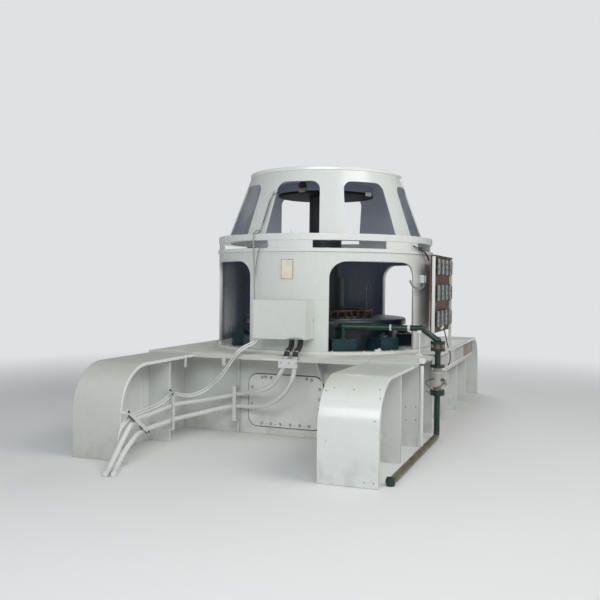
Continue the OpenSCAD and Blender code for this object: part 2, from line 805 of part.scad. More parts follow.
module pipe_upper() {
    ex = run_l - pipe_kink;
    dz = pipe_z - pair_z - stub_h;
    foot = deck_z + cooler_h;
    color("#1e4a3c") translate([drop_x, -drop_y, 0]) rotate([0, 0, run_a]) {
        translate([0, 0, foot]) cylinder(d = cflange_d, h = cflange_t);
        translate([0, 0, foot + cflange_t / 2])
            cylinder(d = pipe_d, h = pipe_z - foot - cflange_t / 2);
        translate([0, 0, pipe_z]) sphere(d = ball_d);
        translate([0, 0, pipe_z]) rotate([0, 90, 0]) cylinder(d = pipe_d, h = ex);
        translate([ex, 0, pipe_z]) sphere(d = ball_d);
        translate([ex, 0, pipe_z]) rotate([0, 90 + atan2(dz, pipe_kink), 0])
            cylinder(d = pipe_d, h = norm([pipe_kink, dz]));
        translate([run_l, 0, pair_z + stub_h]) sphere(d = ball_d);
        translate([run_l, 0, pair_z]) cylinder(d = pipe_d, h = stub_h);
        translate([run_l, 0, pair_z]) cylinder(d = pflange_d, h = pflange_t);
    }
}

// post on the deck that carries the level pipe in a saddle
module pipe_prop() {
    top = pipe_up - ball_d / 2;
    color("#e9e9e6") translate([drop_x, -drop_y, 0]) rotate([0, 0, run_a])
        translate([run_l - prop_in, 0, deck_z]) difference() {
            union() {
                translate([-prop_w / 2, -prop_w / 2, 0]) cube([prop_w, prop_w, prop_t]);
                translate([0, 0, prop_t]) cylinder(d = prop_d, h = top - 2 * prop_t);
                translate([-prop_d, -pipe_d / 2, top - prop_t])
                    cube([2 * prop_d, pipe_d, 2 * prop_t]);
            }
            translate([-prop_w, 0, pipe_up]) rotate([0, 90, 0])
                cylinder(d = ball_d + 0.6, h = 2 * prop_w, $fn = 720);
        }
}

module flow_meter() {
    mid = (meter_top + meter_low) / 2;
    body = meter_d * 156 / 176;
    translate([pipe_x, -pipe_y, 0]) {
        color("#1e4a3c") {
            translate([0, 0, pair_z - wafer_h - pflange_t])
                cylinder(d = pflange_d, h = pflange_t);
            translate([0, 0, meter_top])
                cylinder(d = pipe_d, h = pair_z - wafer_h - pflange_t - meter_top);
            translate([0, 0, meter_top - pflange_t / 2]) cylinder(d = pflange_d, h = pflange_t);
            translate([0, 0, meter_low - pflange_t / 2]) cylinder(d = pflange_d, h = pflange_t);
        }
        color("#8d7f66") translate([0, 0, pair_z - wafer_h])
            cylinder(d = wafer_d, h = wafer_h);
        color("#e5e3df") {
            translate([0, 0, meter_low]) cylinder(d = pipe_d * 1.5, h = meter_span);
            translate([0, 0, mid - body / 2]) cylinder(d = meter_d, h = body);
            translate([0, 0, mid]) rotate([0, 90, 0])
                cylinder(d = meter_d * 0.72, h = meter_d / 2 + meter_head / 3);
        }
    }
}

module pipe_riser() {
    z = meter_low - pflange_t / 2;
    color("#1e4a3c") translate([pipe_x, -pipe_y, 0]) {
        translate([0, 0, elbow_r + pipe_d / 2]) cylinder(d = pipe_d, h = z - elbow_r - pipe_d / 2);
        translate([0, -elbow_r, elbow_r + pipe_d / 2]) rotate([-90, 0, 90])
            rotate_extrude(angle = 90) translate([elbow_r, 0]) circle(d = pipe_d);
        translate([0, 0, z - pflange_t]) cylinder(d = pflange_d, h = pflange_t);
    }
}

module pipe_floor() {
    translate([pipe_x, -pipe_y - elbow_r, pipe_d / 2]) {
        color("#6b6238") rotate([90, 0, 0]) cylinder(d = pipe_d, h = floor_run);
        color("#1e4a3c") translate([0, -floor_run, -pipe_d / 2])
            cylinder(d = ball_d, h = pipe_d * 16 / 15);
    }
}

module drain_conduit() {
    foot = pipe_d * 16 / 15;
    color("#eeeeec") translate([side_x + drain_d / 2, -deck_edge + drain_in, foot])
        cylinder(d = drain_d, h = deck_z + drain_up - foot);
}

// Resistor rack

module rack_frame() {
    y0 = rack_mid - rack_l / 2;
    y1 = rack_mid + rack_l / 2;
    top = rack_z + rack_h;
    color("#5b3a2c") {
        span([rack_x - board_t, y0, rack_z], [rack_x, y1, top]);
        span([rack_x - board_t, y0, top], [rack_x + bar_t, y1, top + board_t]);
    }
    color("#ececea") for (y = [y0 + elem_gap, y1 - bar_t - elem_gap])
        span([rack_x, y, deck_z], [rack_x + bar_t, y + bar_t, top]);
}

module rack_elements() {
    color("#8c8f92") for (i = [-1.5:1:1.5], k = [0:2])
        translate([rack_x + elem_d / 2 + elem_gap, rack_mid - 50 + i * elem_step,
                   rack_z + elem_z + k * elem_pitch]) {
            cylinder(d = elem_d, h = elem_l);
            for (z = [clip_w / 2, elem_l - clip_w * 1.25])
                translate([-elem_d / 2 - elem_gap, -clip_w / 2, z])
                    cube([elem_gap * 2, clip_w, clip_w * 0.8]);
        }
}

module junction_box() {
    color("#e9e9e7") rotate([0, 0, jbox_a])
        translate([-jbox_w / 2, -drum_r - jbox_d, deck_z + jbox_up])
            cube([jbox_w, jbox_d, jbox_h]);
}

// Nodes

web(-1);  // web_left
web(1);  // web_right
flange(-1);  // flange_left
flange(1);  // flange_right
ribs(-1);  // ribs_left
ribs(1);  // ribs_right
cross_wall(true);  // wall_front
cross_wall(false);  // wall_rear
hatch();
side_rail(-1);  // side_rail_left
side_rail(1);  // side_rail_right
deck();
casing();
curb_ring();
drum_quarter(0);  // drum_front
drum_quarter(90);  // drum_right
drum_quarter(180);  // drum_rear
drum_quarter(270);  // drum_left
band_lower();
band_posts();
band_upper();
cone_pillars();
cone_crown();
cone_cover();
bearing_housing();
coolers();
shaft_column();
exciter_disc();
disc_motor();
service_ring();
terminal_box();
cable_straps();
cable_upper();
cable_lower();
cable_twin();
conduit_left();
pipe_upper();
pipe_prop();
flow_meter();
pipe_riser();
pipe_floor();
drain_conduit();
rack_frame();
rack_elements();
junction_box();
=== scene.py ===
from math import cos, radians, sin, sqrt

import bmesh
import bpy
from mathutils import Matrix, Vector


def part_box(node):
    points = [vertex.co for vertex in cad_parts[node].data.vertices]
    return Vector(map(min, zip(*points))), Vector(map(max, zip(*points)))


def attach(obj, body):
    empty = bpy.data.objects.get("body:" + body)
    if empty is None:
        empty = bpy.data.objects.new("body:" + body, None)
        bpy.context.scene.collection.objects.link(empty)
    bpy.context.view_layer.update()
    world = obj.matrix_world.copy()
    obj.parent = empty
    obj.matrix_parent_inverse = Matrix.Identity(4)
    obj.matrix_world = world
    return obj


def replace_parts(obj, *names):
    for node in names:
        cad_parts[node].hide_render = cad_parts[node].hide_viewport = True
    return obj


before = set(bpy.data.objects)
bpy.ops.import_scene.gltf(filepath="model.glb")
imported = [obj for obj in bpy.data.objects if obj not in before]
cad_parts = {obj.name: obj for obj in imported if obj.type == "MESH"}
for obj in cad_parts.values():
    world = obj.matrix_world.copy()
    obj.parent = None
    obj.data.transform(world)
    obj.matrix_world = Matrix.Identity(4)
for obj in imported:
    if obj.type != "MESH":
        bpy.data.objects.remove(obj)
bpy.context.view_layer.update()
scene = bpy.context.scene
scene.view_settings.view_transform = "Standard"


# Camera
# It stands at eye height in front and to the right of the set. Its place, lens
# and turns come from a fit to the floor's tiles and the housing's circles.
PHOTO_WIDE, FOCAL = 600, 764.4               # pixels
EYE = (2.8918, -8.5289, 1.6)                 # metres
LEFT, DOWN, LEAN = 20.575, 1.4036, 0.6383    # degrees
lens = bpy.data.cameras.new("camera")
lens.sensor_fit = "HORIZONTAL"
lens.sensor_width = 36.0
lens.lens = lens.sensor_width * FOCAL / PHOTO_WIDE
camera = bpy.data.objects.new("camera", lens)
scene.collection.objects.link(camera)
camera.matrix_world = (
    Matrix.Translation(EYE)
    @ Matrix.Rotation(radians(LEFT), 4, "Z")
    @ Matrix.Rotation(radians(90 - DOWN), 4, "X")
    @ Matrix.Rotation(radians(LEAN), 4, "Z")
)
scene.camera = camera


# Floor and light
# A pale studio floor that fades into an equally pale surround. A broad soft
# lamp stands where the hall's windows are, on the right, a lower one in front
# and one behind, and a weak one fills from the left.
def shade(code):
    """A colour's linear parts, from its six-figure code."""
    parts = [int(code[i:i + 2], 16) / 255 for i in (0, 2, 4)]
    return tuple(((p + 0.055) / 1.055) ** 2.4 if p > 0.04045 else p / 12.92
                 for p in parts) + (1.0,)


class Wire:
    """One output inside a finish. Sums on wires are written as plain sums."""

    def __init__(self, finish, socket):
        self.finish = finish
        self.socket = socket

    def reckon(self, operation, *values):
        return self.finish.node("ShaderNodeMath", {"operation": operation},
                                dict(enumerate(values)))

    def __add__(self, other):
        return self.reckon("ADD", self, other)

    def __sub__(self, other):
        return self.reckon("SUBTRACT", self, other)

    def __rsub__(self, other):
        return self.reckon("SUBTRACT", other, self)

    def __mul__(self, other):
        return self.reckon("MULTIPLY", self, other)

    def __abs__(self):
        return self.reckon("ABSOLUTE", self)

    def least(self, other):
        return self.reckon("MINIMUM", self, other)

    def most(self, other):
        return self.reckon("MAXIMUM", self, other)

    __radd__ = __add__
    __rmul__ = __mul__


class Finish:
    """A material that is built up from the place on the object outwards."""

    def __init__(self, name, **steady):
        self.material = bpy.data.materials.new(name)
        self.material.use_nodes = True
        self.tree = self.material.node_tree
        self.shader = self.tree.nodes["Principled BSDF"]
        for socket, value in steady.items():
            self.shader.inputs[socket.replace("_", " ")].default_value = value
        self.place = self.node("ShaderNodeTexCoord", out="Object")

    def node(self, kind, settings=None, sockets=None, out=0):
        made = self.tree.nodes.new(kind)
        for name, value in (settings or {}).items():
            setattr(made, name, value)
        for name, value in (sockets or {}).items():
            self.join(made.inputs[name], value)
        return Wire(self, made.outputs[out])

    def join(self, socket, value):
        if isinstance(value, Wire):
            self.tree.links.new(value.socket, socket)
        else:
            socket.default_value = value

    def feed(self, **sockets):
        for name, value in sockets.items():
            self.join(self.shader.inputs[name.replace("_", " ")], value)
        return self.material

    def noise(self, scale, detail, rough=0.55, stretch=(1, 1, 1)):
        place = self.node("ShaderNodeMapping", None,
                          {"Vector": self.place, "Scale": stretch})
        return self.node("ShaderNodeTexNoise", None,
                         {"Vector": place, "Scale": scale, "Detail": detail,
                          "Roughness": rough})

    def between(self, value, low, high, to=(0.0, 1.0)):
        """0 below low, 1 above high, and smooth between them."""
        return self.node("ShaderNodeMapRange", {"interpolation_type": "SMOOTHSTEP"},
                         {"Value": value, "From Min": low, "From Max": high,
                          "To Min": to[0], "To Max": to[1]})

    def mix(self, factor, first, second):
        return self.node("ShaderNodeMix", {"data_type": "RGBA"},
                         {0: factor, 6: first, 7: second}, out=2)

    def mottled(self, cloud, first, second, low=0.3, high=0.7):
        """Two shades that follow a cloud of noise, the first where it is low."""
        return self.mix(self.between(cloud, low, high), shade(first), shade(second))

    def axis(self, name, vector=None):
        return self.node("ShaderNodeSeparateXYZ", None,
                         {0: vector or self.place}, out=name)

    def radius(self):
        flat = self.node("ShaderNodeVectorMath", {"operation": "MULTIPLY"},
                         {0: self.place, 1: (1, 1, 0)})
        return self.node("ShaderNodeVectorMath", {"operation": "LENGTH"},
                         {0: flat}, out="Value")

    def upward(self, low=0.55, high=0.95):
        normal = self.node("ShaderNodeNewGeometry", out="Normal")
        return self.between(self.axis("Z", normal), low, high)

    def bump(self, height, strength, distance):
        return self.node("ShaderNodeBump", None,
                         {"Strength": strength, "Distance": distance, "Height": height})


SURROUND = (0.74, 0.75, 0.76, 1.0)
FLOOR_RADIUS, FLOOR_DROP = 60, 0.001    # metres; the drop keeps it off the beams' feet
FADE_FROM, FADE_TO = 3.4, 9.5           # metres from the machine's axis
floor_mesh = bmesh.new()
bmesh.ops.create_circle(floor_mesh, cap_ends=True, segments=96, radius=FLOOR_RADIUS)
floor_data = bpy.data.meshes.new("studio_floor")
floor_mesh.to_mesh(floor_data)
floor_mesh.free()
studio_floor = bpy.data.objects.new("studio_floor", floor_data)
studio_floor.location.z = -FLOOR_DROP
scene.collection.objects.link(studio_floor)
pale = Finish("studio_floor", Roughness=0.75)
pale.feed(Base_Color=(0.83, 0.83, 0.82, 1.0))
far_off = pale.between(pale.radius(), FADE_FROM, FADE_TO)
glow = pale.node("ShaderNodeEmission", None, {"Color": SURROUND, "Strength": 1.0})
body = Wire(pale, pale.shader.outputs[0])
faded = pale.node("ShaderNodeMixShader", None, {0: far_off, 1: body, 2: glow})
pale.join(pale.tree.nodes["Material Output"].inputs["Surface"], faded)
floor_data.materials.append(pale.material)

# the camera sees the pale surround, and everything else a dimmer, cooler dome
DOME, DOME_STRENGTH = (0.93, 0.97, 1.0, 1.0), 0.26
world = bpy.data.worlds.new("surround")
scene.world = world
world.use_nodes = True
sky = world.node_tree
dome = sky.nodes["Background"]
dome.inputs["Color"].default_value = DOME
dome.inputs["Strength"].default_value = DOME_STRENGTH
seen = sky.nodes.new("ShaderNodeBackground")
seen.inputs["Color"].default_value = SURROUND
ray = sky.nodes.new("ShaderNodeLightPath")
choice = sky.nodes.new("ShaderNodeMixShader")
sky.links.new(ray.outputs["Is Camera Ray"], choice.inputs[0])
sky.links.new(dome.outputs[0], choice.inputs[1])
sky.links.new(seen.outputs[0], choice.inputs[2])
sky.links.new(choice.outputs[0], sky.nodes["World Output"].inputs["Surface"])

# each lamp: degrees from the front to the right, degrees up, distance, size,
# strength in watts and colour
AIM_AT = Vector((0, 0, 1.0))
DAYLIGHT, COOL = (1.0, 0.985, 0.96), (0.95, 0.98, 1.0)
for name, turn, height, away, size, strength, colour in (
        ("window_light", 66, 40, 9.0, (5.0, 4.0), 260, DAYLIGHT),
        ("front_light", 12, 22, 8.0, (5.5, 2.2), 185, COOL),
        ("left_fill", -62, 24, 9.0, (5.0, 4.0), 18, COOL),
        ("rear_fill", 190, 35, 9.0, (5.0, 4.0), 190, COOL)):
    lamp = bpy.data.lights.new(name, "AREA")
    lamp.shape = "RECTANGLE"
    lamp.size, lamp.size_y = size
    lamp.energy = strength
    lamp.color = colour
    stand = bpy.data.objects.new(name, lamp)
    aim = Vector((sin(radians(turn)) * cos(radians(height)),
                  -cos(radians(turn)) * cos(radians(height)), sin(radians(height))))
    stand.matrix_world = (Matrix.Translation(aim * away + AIM_AT)
                          @ aim.to_track_quat("Z", "Y").to_matrix().to_4x4())
    scene.collection.objects.link(stand)


# Plinth beams
# Two long welded steel beams carry the set on the floor. Each is a web plate
# under a broad plate bent down at both ends, with ribs welded on both sides,
# all sprayed with gloss off-white enamel that dust dulls on the flat tops.
ENAMEL = "e3e5e2"
GRIME, DUST, CHIP, SEAM = (shade(code) for code in ("8b8577", "b9bbad", "6c665c", "77776f"))
SHARP_FROM, ROUNDED_FROM = 32, 35    # degrees between two faces
MERGED, FLAT = 0.00005, 0.2          # metres between corners, degrees between faces


def enamel(name, *, dust, clean=ENAMEL, inner=None, within=None, seam=None):
    """Sprayed gloss enamel. inner picks out the inside of a shell, painted within,
    and seam a line where two sheets meet."""
    coat = Finish(name, Coat_Roughness=0.12, Specular_IOR_Level=0.45)
    cloud = coat.noise(1.1, 5, 0.6)
    grime = coat.noise(7.0, 8, 0.65)
    run = coat.noise(9.0, 4, 0.6, stretch=(2.2, 2.2, 0.25))
    foot = 1 - coat.between(coat.axis("Z"), 0.0, 0.32)
    lying = coat.upward() * coat.between(cloud, 0.25, 0.7, to=(0.45, 1.0)) * dust
    smear = (coat.between(run, 0.56, 0.80) * 0.13
             + foot * coat.between(grime, 0.40, 0.72) * 0.34
             + coat.between(grime, 0.62, 0.85) * 0.10)
    fresh = shade(clean)
    base = coat.mix(coat.between(cloud, 0.3, 0.7), fresh,
                    tuple(c * 0.955 for c in fresh[:3]) + (1.0,))
    base = coat.mix(smear, base, GRIME)
    base = coat.mix(lying, base, DUST)
    nick = coat.between(coat.noise(46.0, 2, 0.5), 0.755, 0.775) * 0.7
    base = coat.mix(nick, base, CHIP)
    if inner:
        base = coat.mix(inner(coat), base, shade(within))
    if seam:
        base = coat.mix(seam(coat) * 0.35, base, SEAM)
    ripple = coat.noise(120.0, 2, 0.5) * 0.25 + coat.noise(5.0, 3, 0.5) * 1.2
    return coat.feed(Base_Color=base,
                     Roughness=0.27 + lying * 0.38 + smear * 0.5,
                     Coat_Weight=0.5 - lying * 0.5,
                     Normal=coat.bump(ripple, 0.10, 0.004))


def piece(name, mesh, finish, rounding=0.0, steps=2):
    """Makes a finished mesh into a piece of the set, in place and on its body."""
    data = bpy.data.meshes.new(name)
    mesh.to_mesh(data)
    mesh.free()
    data.polygons.foreach_set("use_smooth", [True] * len(data.polygons))
    data.set_sharp_from_angle(angle=radians(SHARP_FROM))
    data.materials.append(finish)
    made = bpy.data.objects.new(name, data)
    scene.collection.objects.link(made)
    if rounding:
        edge = made.modifiers.new("rounded_edges", "BEVEL")
        edge.width, edge.segments = rounding, steps
        edge.limit_method, edge.angle_limit = "ANGLE", radians(ROUNDED_FROM)
        edge.harden_normals = True
    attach(made, "root")
    return made


def dress(node, suffix, finish, rounding):
    """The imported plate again, merged, with the small radius of a ground edge."""
    mesh = bmesh.new()
    mesh.from_mesh(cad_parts[node].data)
    bmesh.ops.remove_doubles(mesh, verts=mesh.verts, dist=MERGED)
    bmesh.ops.dissolve_limit(mesh, angle_limit=radians(FLAT), verts=mesh.verts,
                             edges=mesh.edges)
    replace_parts(piece(f"{node}_{suffix}", mesh, finish, rounding=rounding), node)


def assign(node, finish):
    """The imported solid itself, in its own finish."""
    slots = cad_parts[node].data.materials
    slots.clear()
    slots.append(finish)


beam_enamel = enamel("beam_enamel", dust=0.75)
# the left flange's enamel is painted darker, as painted shade on that side, except on its inner
# edge, which is painted near white as a painted highlight
inner_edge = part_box("flange_left")[1].x
shaded_flange_enamel = enamel("shaded_flange_enamel", clean="d3d3cf", dust=0.6,
                     inner=lambda coat: coat.between(coat.axis("X"), inner_edge - 0.0030,
                                                     inner_edge - 0.0015),
                     within="f0f2ef")
for side, flange_coat in (("left", shaded_flange_enamel), ("right", beam_enamel)):
    dress(f"flange_{side}", "plate", flange_coat, 0.004)
    dress(f"web_{side}", "plate", beam_enamel, 0.003)
    dress(f"ribs_{side}", "plates", beam_enamel, 0.002)


FRONT, RIGHT, UP = Vector((0, -1, 0)), Vector((1, 0, 0)), Vector((0, 0, 1))
HEXAGON = 0.577    # a hexagon's outer radius for a width of 1 across its flats


def stand_on(at, outward):
    """Puts a shape that grows along Z onto a surface, at a point of it."""
    turn = outward.to_track_quat("Z", "Y").to_matrix().to_4x4()
    return Matrix.Translation(at) @ turn


def bolt(mesh, at, outward, across, tall, washer=True):
    """A hexagon head with a chamfered crown, on its washer."""
    place = stand_on(at, outward)
    start = 0.0
    if washer:
        bmesh.ops.create_cone(mesh, cap_ends=True, segments=18, depth=0.003,
                              radius1=across * 0.78, radius2=across * 0.74,
                              matrix=place @ Matrix.Translation((0, 0, 0.0010)))
        start = 0.002
    bmesh.ops.create_cone(mesh, cap_ends=True, segments=6, depth=tall * 0.8,
                          radius1=across * HEXAGON, radius2=across * HEXAGON,
                          matrix=place @ Matrix.Translation((0, 0, start + tall * 0.4)))
    bmesh.ops.create_cone(mesh, cap_ends=True, segments=6, depth=tall * 0.2,
                          radius1=across * HEXAGON, radius2=across * 0.46,
                          matrix=place @ Matrix.Translation((0, 0, start + tall * 0.9)))


def screw(mesh, at, outward, wide):
    """A low round head, as on sheet-metal covers."""
    place = stand_on(at, outward)
    bmesh.ops.create_uvsphere(mesh, u_segments=14, v_segments=8, radius=wide / 2,
                              matrix=place @ Matrix.Diagonal((1, 1, 0.55, 1)))


def rod(mesh, start, end, radius, sides, thin=None):
    """A round bar from one point to another, or a cone that ends thin."""
    start, end = Vector(start), Vector(end)
    bmesh.ops.create_cone(mesh, cap_ends=True, segments=sides,
                          depth=(end - start).length, radius1=radius,
                          radius2=radius if thin is None else thin,
                          matrix=stand_on((start + end) / 2, end - start))


def block(mesh, middle, size, corner, turn=Matrix()):
    """A bar or box with ground edges, centred on a point."""
    made = bmesh.ops.create_cube(mesh, size=1.0, matrix=Matrix.Translation(middle)
                                 @ turn @ Matrix.Diagonal((*size, 1)))["verts"]
    edges = {edge for vert in made for edge in vert.link_edges}
    bmesh.ops.bevel(mesh, geom=list(edges), offset=corner, segments=1, profile=0.5,
                    affect="EDGES", material=-1, offset_type="OFFSET")


dark_metal = Finish("dark_screws", Metallic=0.9)
spots = dark_metal.noise(160.0, 3)
dark_metal = dark_metal.feed(
    Base_Color=dark_metal.mix(spots, shade("4a4744"), shade("6a6661")),
    Roughness=dark_metal.between(spots, 0.3, 0.7, to=(0.35, 0.6)))

# screws in the right beam's bent end, each with the degrees round the bend and
# the distance across, and four more in the front face of its second rib
BEND, FOOT_SCREW_Z, SECOND_RIB_Y = 0.42, 0.045, -1.192
flange_low, flange_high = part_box("flange_right")
heads = bmesh.new()
for along, across in ((47, 0.939), (52, 1.000), (51, 1.164), (53, 1.374),
                      (41, 1.396), (15, 1.377), (0, 1.302), (0, 1.378)):
    out = Vector((0, -cos(radians(along)), sin(radians(along))))
    middle = Vector((across, flange_low.y + BEND,
                     flange_high.z - BEND if along else FOOT_SCREW_Z))
    screw(heads, middle + out * BEND, out, 0.011)
for x, z in ((1.252, 0.383), (1.352, 0.391), (1.258, 0.256), (1.352, 0.262)):
    screw(heads, (x, SECOND_RIB_Y, z), FRONT, 0.012)
piece("beam_screws", heads, dark_metal)


# Cross walls
# Steel walls close the plinth at the front and at the back, with an upright
# and brackets welded on. Their enamel is older and greyer than the beams'.
wall_enamel = enamel("wall_enamel", clean="dfe1dc", dust=0.6)
dress("wall_front", "plate", wall_enamel, 0.0025)
dress("wall_rear", "plate", wall_enamel, 0.0025)


# Hatch
# A bolted cover over the way into the turbine pit. A black band all round it,
# shaped as a rubber gasket, is painted shadow along its edge, and hexagon bolts
# hold it down near its edge.
def rounded_plate(mesh, wide, high, thick, corner, middle):
    """An upright plate that faces the front, with round corners."""
    made = bmesh.ops.create_cube(mesh, size=1.0, matrix=Matrix.Translation(middle)
                                 @ Matrix.Diagonal((wide, thick, high, 1)))["verts"]
    through = {edge for vert in made for edge in vert.link_edges
               if abs(edge.verts[0].co.y - edge.verts[1].co.y) > thick / 2}
    bmesh.ops.bevel(mesh, geom=list(through), offset=corner, segments=6,
                    profile=0.5, affect="EDGES", material=-1, offset_type="OFFSET")


hatch_enamel = enamel("hatch_enamel", clean="e6e7e3", dust=0.5)
dress("hatch", "cover", hatch_enamel, 0.003)
rubber = Finish("black_rubber", Roughness=0.72)
worn = rubber.noise(60.0, 4)
rubber = rubber.feed(Base_Color=rubber.mix(worn, shade("1d1d1e"), shade("3b3a38")),
                     Normal=rubber.bump(worn, 0.2, 0.001))
# the band of painted shadow is as large as the cover and a margin all round
SHADOW_BAND, SHADOW_BAND_OUT, SHADOW_BAND_BACK, SHADOW_BAND_CORNER = 0.007, 0.008, 0.0108, 0.106
hatch_low, hatch_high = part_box("hatch")
hatch_face = hatch_low.y
shadow_band = bmesh.new()
rounded_plate(shadow_band, hatch_high.x - hatch_low.x + 2 * SHADOW_BAND_OUT,
              hatch_high.z - hatch_low.z + 2 * SHADOW_BAND_OUT, SHADOW_BAND, SHADOW_BAND_CORNER,
              (0, hatch_face + SHADOW_BAND_BACK, (hatch_low.z + hatch_high.z) / 2))
piece("hatch_shadow_band", shadow_band, rubber, rounding=0.002)
hatch_bolts = bmesh.new()
hatch_shadows_and_spots = bmesh.new()
# bolts as the photograph shows them: the row below, the row above and both sides
HATCH_BOLTS = [(x, 0.118) for x in (-0.263, -0.161, -0.055, 0.055, 0.161, 0.263)]
HATCH_BOLTS += [(-0.263, 0.596), (-0.223, 0.600), (-0.161, 0.596), (0.231, 0.604),
                (0.285, 0.592), (0.371, 0.505), (0.374, 0.402), (0.371, 0.300),
                (-0.376, 0.489), (-0.378, 0.313)]
# each bolt sits on a thin black disc a little wider than its head, a painted shadow round the
# head
SHADOW_DISC, SHADOW_DISC_RADIUS = 0.0006, 0.0155
for x, z in HATCH_BOLTS:
    bolt(hatch_bolts, (x, hatch_face - 0.0002, z), FRONT, 0.021, 0.010, washer=False)
    rod(hatch_shadows_and_spots, (x, hatch_face + 0.0005, z), (x, hatch_face - SHADOW_DISC, z), SHADOW_DISC_RADIUS, 18)
# and small dark spots between the bolts of the lower row
for x in (-0.212, -0.108, 0.0, 0.108, 0.212):
    screw(hatch_shadows_and_spots, (x, hatch_face, 0.112), FRONT, 0.009)
piece("hatch_shadows_and_spots", hatch_shadows_and_spots, rubber)
bolt_steel = Finish("painted_bolts")
rubbed = bolt_steel.noise(90.0, 4)
bolt_steel = bolt_steel.feed(Base_Color=bolt_steel.mottled(rubbed, "d3d4cf", "8f8b84", 0.45),
                             Roughness=0.45)
piece("hatch_bolts", hatch_bolts, bolt_steel)


# Side rails
# Cover plates of thin sheet along the ribs' outer edges, screwed to a small
# white angle along their foot, which shows as a bright line. The right one is
# painted brown at its rear end.
ANGLE_TOP, BROWN_FROM = 0.6325, 1.608
rail_paint = Finish("rail_paint", Coat_Roughness=0.2)
streak = rail_paint.noise(6.0, 6, 0.6, stretch=(1, 1, 0.3))
sheet = rail_paint.between(rail_paint.axis("Z"), ANGLE_TOP, ANGLE_TOP + 0.002)
base = rail_paint.mottled(streak, "cfcfcc", "b5b3af", 0.35)
brown_end = (rail_paint.between(rail_paint.axis("Y"), BROWN_FROM, BROWN_FROM + 0.004)
             * rail_paint.between(rail_paint.axis("X"), 0.0, 0.01))
base = rail_paint.mix(brown_end, base, shade("8d7a6c"))
rail_paint = rail_paint.feed(Base_Color=rail_paint.mix(sheet, shade("e4e5e1"), base),
                             Roughness=rail_paint.between(streak, 0.3, 0.7, to=(0.35, 0.5)),
                             Normal=rail_paint.bump(streak, 0.08, 0.002))
for side in ("left", "right"):
    dress(f"side_rail_{side}", "cover", rail_paint, 0.002)
# two rows of screws, one in the angle and one along the top
RAIL_SCREWS, RAIL_STEP, RAIL_END = 16, 0.18, 0.100
rail_low, rail_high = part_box("side_rail_right")
rail_screws = bmesh.new()
for side in (-1, 1):
    for step in range(RAIL_SCREWS):
        for z in (rail_low.z + 0.017, rail_high.z - 0.025):
            at = (side * rail_high.x, rail_low.y + RAIL_END + step * RAIL_STEP, z)
            screw(rail_screws, at, RIGHT * side, 0.010)
piece("side_rail_screws", rail_screws, dark_metal)


# Deck and curb
# Floor plates of painted steel, butted along straight dark joints, with plain
# grey-white edges. The curb ring is bolted down on them.
DECK_JOINTS = (-0.96, -0.32, 0.32, 0.96)
deck_paint = Finish("deck_paint")
tread = deck_paint.noise(3.5, 8, 0.62)
scuff = deck_paint.noise(24.0, 6, 0.7)
grooves = sum(1 - deck_paint.between(abs(deck_paint.axis("X") - line), 0.0015, 0.0045)
              for line in DECK_JOINTS)
top = deck_paint.upward(0.8, 0.95)
joint = deck_paint.between(grooves, 0.0, 1.0) * top
base = deck_paint.mottled(tread, "e4e4dc", "cbc9be", 0.35)
base = deck_paint.mix(deck_paint.between(scuff, 0.55, 0.8) * 0.4, base, shade("8b867a"))
base = deck_paint.mix(joint * 0.85, base, shade("3c3a35"))
base = deck_paint.mix(top, shade("cfd1ca"), base)
deck_paint = deck_paint.feed(
    Base_Color=base, Roughness=deck_paint.between(tread, 0.3, 0.8, to=(0.42, 0.68)),
    Normal=deck_paint.bump(scuff * 0.5 - joint * 3.0, 0.35, 0.001))
dress("deck", "plates", deck_paint, 0.003)
curb_enamel = enamel("curb_enamel", dust=0.5)
dress("curb_ring", "bar", curb_enamel, 0.003)
CURB_BOLTS, CURB_CIRCLE = 24, 1.262
curb_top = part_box("curb_ring")[1].z
curb_bolts = bmesh.new()
for step in range(CURB_BOLTS):
    turn = radians((step + 0.5) * 360 / CURB_BOLTS)
    bolt(curb_bolts, (CURB_CIRCLE * sin(turn), -CURB_CIRCLE * cos(turn), curb_top), UP,
         0.018, 0.009)
piece("curb_bolts", curb_bolts, bolt_steel)
# a lug with a smaller block on it at the foot of each opening
lugs = bmesh.new()
for azimuth in (44.6, 135, 225, 311.5):
    turn = Matrix.Rotation(radians(azimuth), 4, "Z")
    block(lugs, turn @ Vector((0, -1.268, curb_top + 0.011)), (0.070, 0.030, 0.022), 0.004, turn)
    block(lugs, turn @ Vector((0.018, -CURB_CIRCLE, curb_top + 0.027)), (0.024, 0.018, 0.012),
          0.003, turn)
piece("curb_lugs", lugs, curb_enamel)
primer = Finish("grey_primer", Roughness=0.6)
primer = primer.feed(Base_Color=primer.mix(primer.noise(4.0, 6), shade("8d9092"),
                                           shade("777a7c")))
assign("casing", primer)


# Drum
# The round housing is rolled from four sheets, enamelled white outside and
# blue-grey inside, made darker there as painted shade. A flat strip is welded
# round each tall opening.
BOX_LID_Z, SIDE_SEAM = 1.411, 16    # metres, and degrees from the right to the front
OPENINGS, OPENING_HALF = (45, 135, 225, 315), 24.4    # degrees round from the front
DRUM_INSIDE = 1.2222
drum_radius = -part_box("drum_front")[0].y


def drum_seam(coat):
    """A level weld at the height of the box's lid, and upright ones at the sides."""
    level = coat.axis("Z") - BOX_LID_Z
    upright = (coat.axis("X") * sin(radians(SIDE_SEAM))
               + coat.axis("Y") * cos(radians(SIDE_SEAM)))
    return 1 - coat.between(abs(level).least(abs(upright)), 0.0010, 0.0022)


# the inside's blue-grey is made darker as painted shade, for the little light that reaches in
drum_enamel = enamel("drum_enamel", clean="dde0dc", dust=0.3,
                     inner=lambda coat: 1 - coat.between(coat.radius(), DRUM_INSIDE,
                                                         DRUM_INSIDE + 0.0008),
                     within="545d6b", seam=drum_seam)
for side in ("front", "left", "rear", "right"):
    dress(f"drum_{side}", "sheet", drum_enamel, 0.0015)
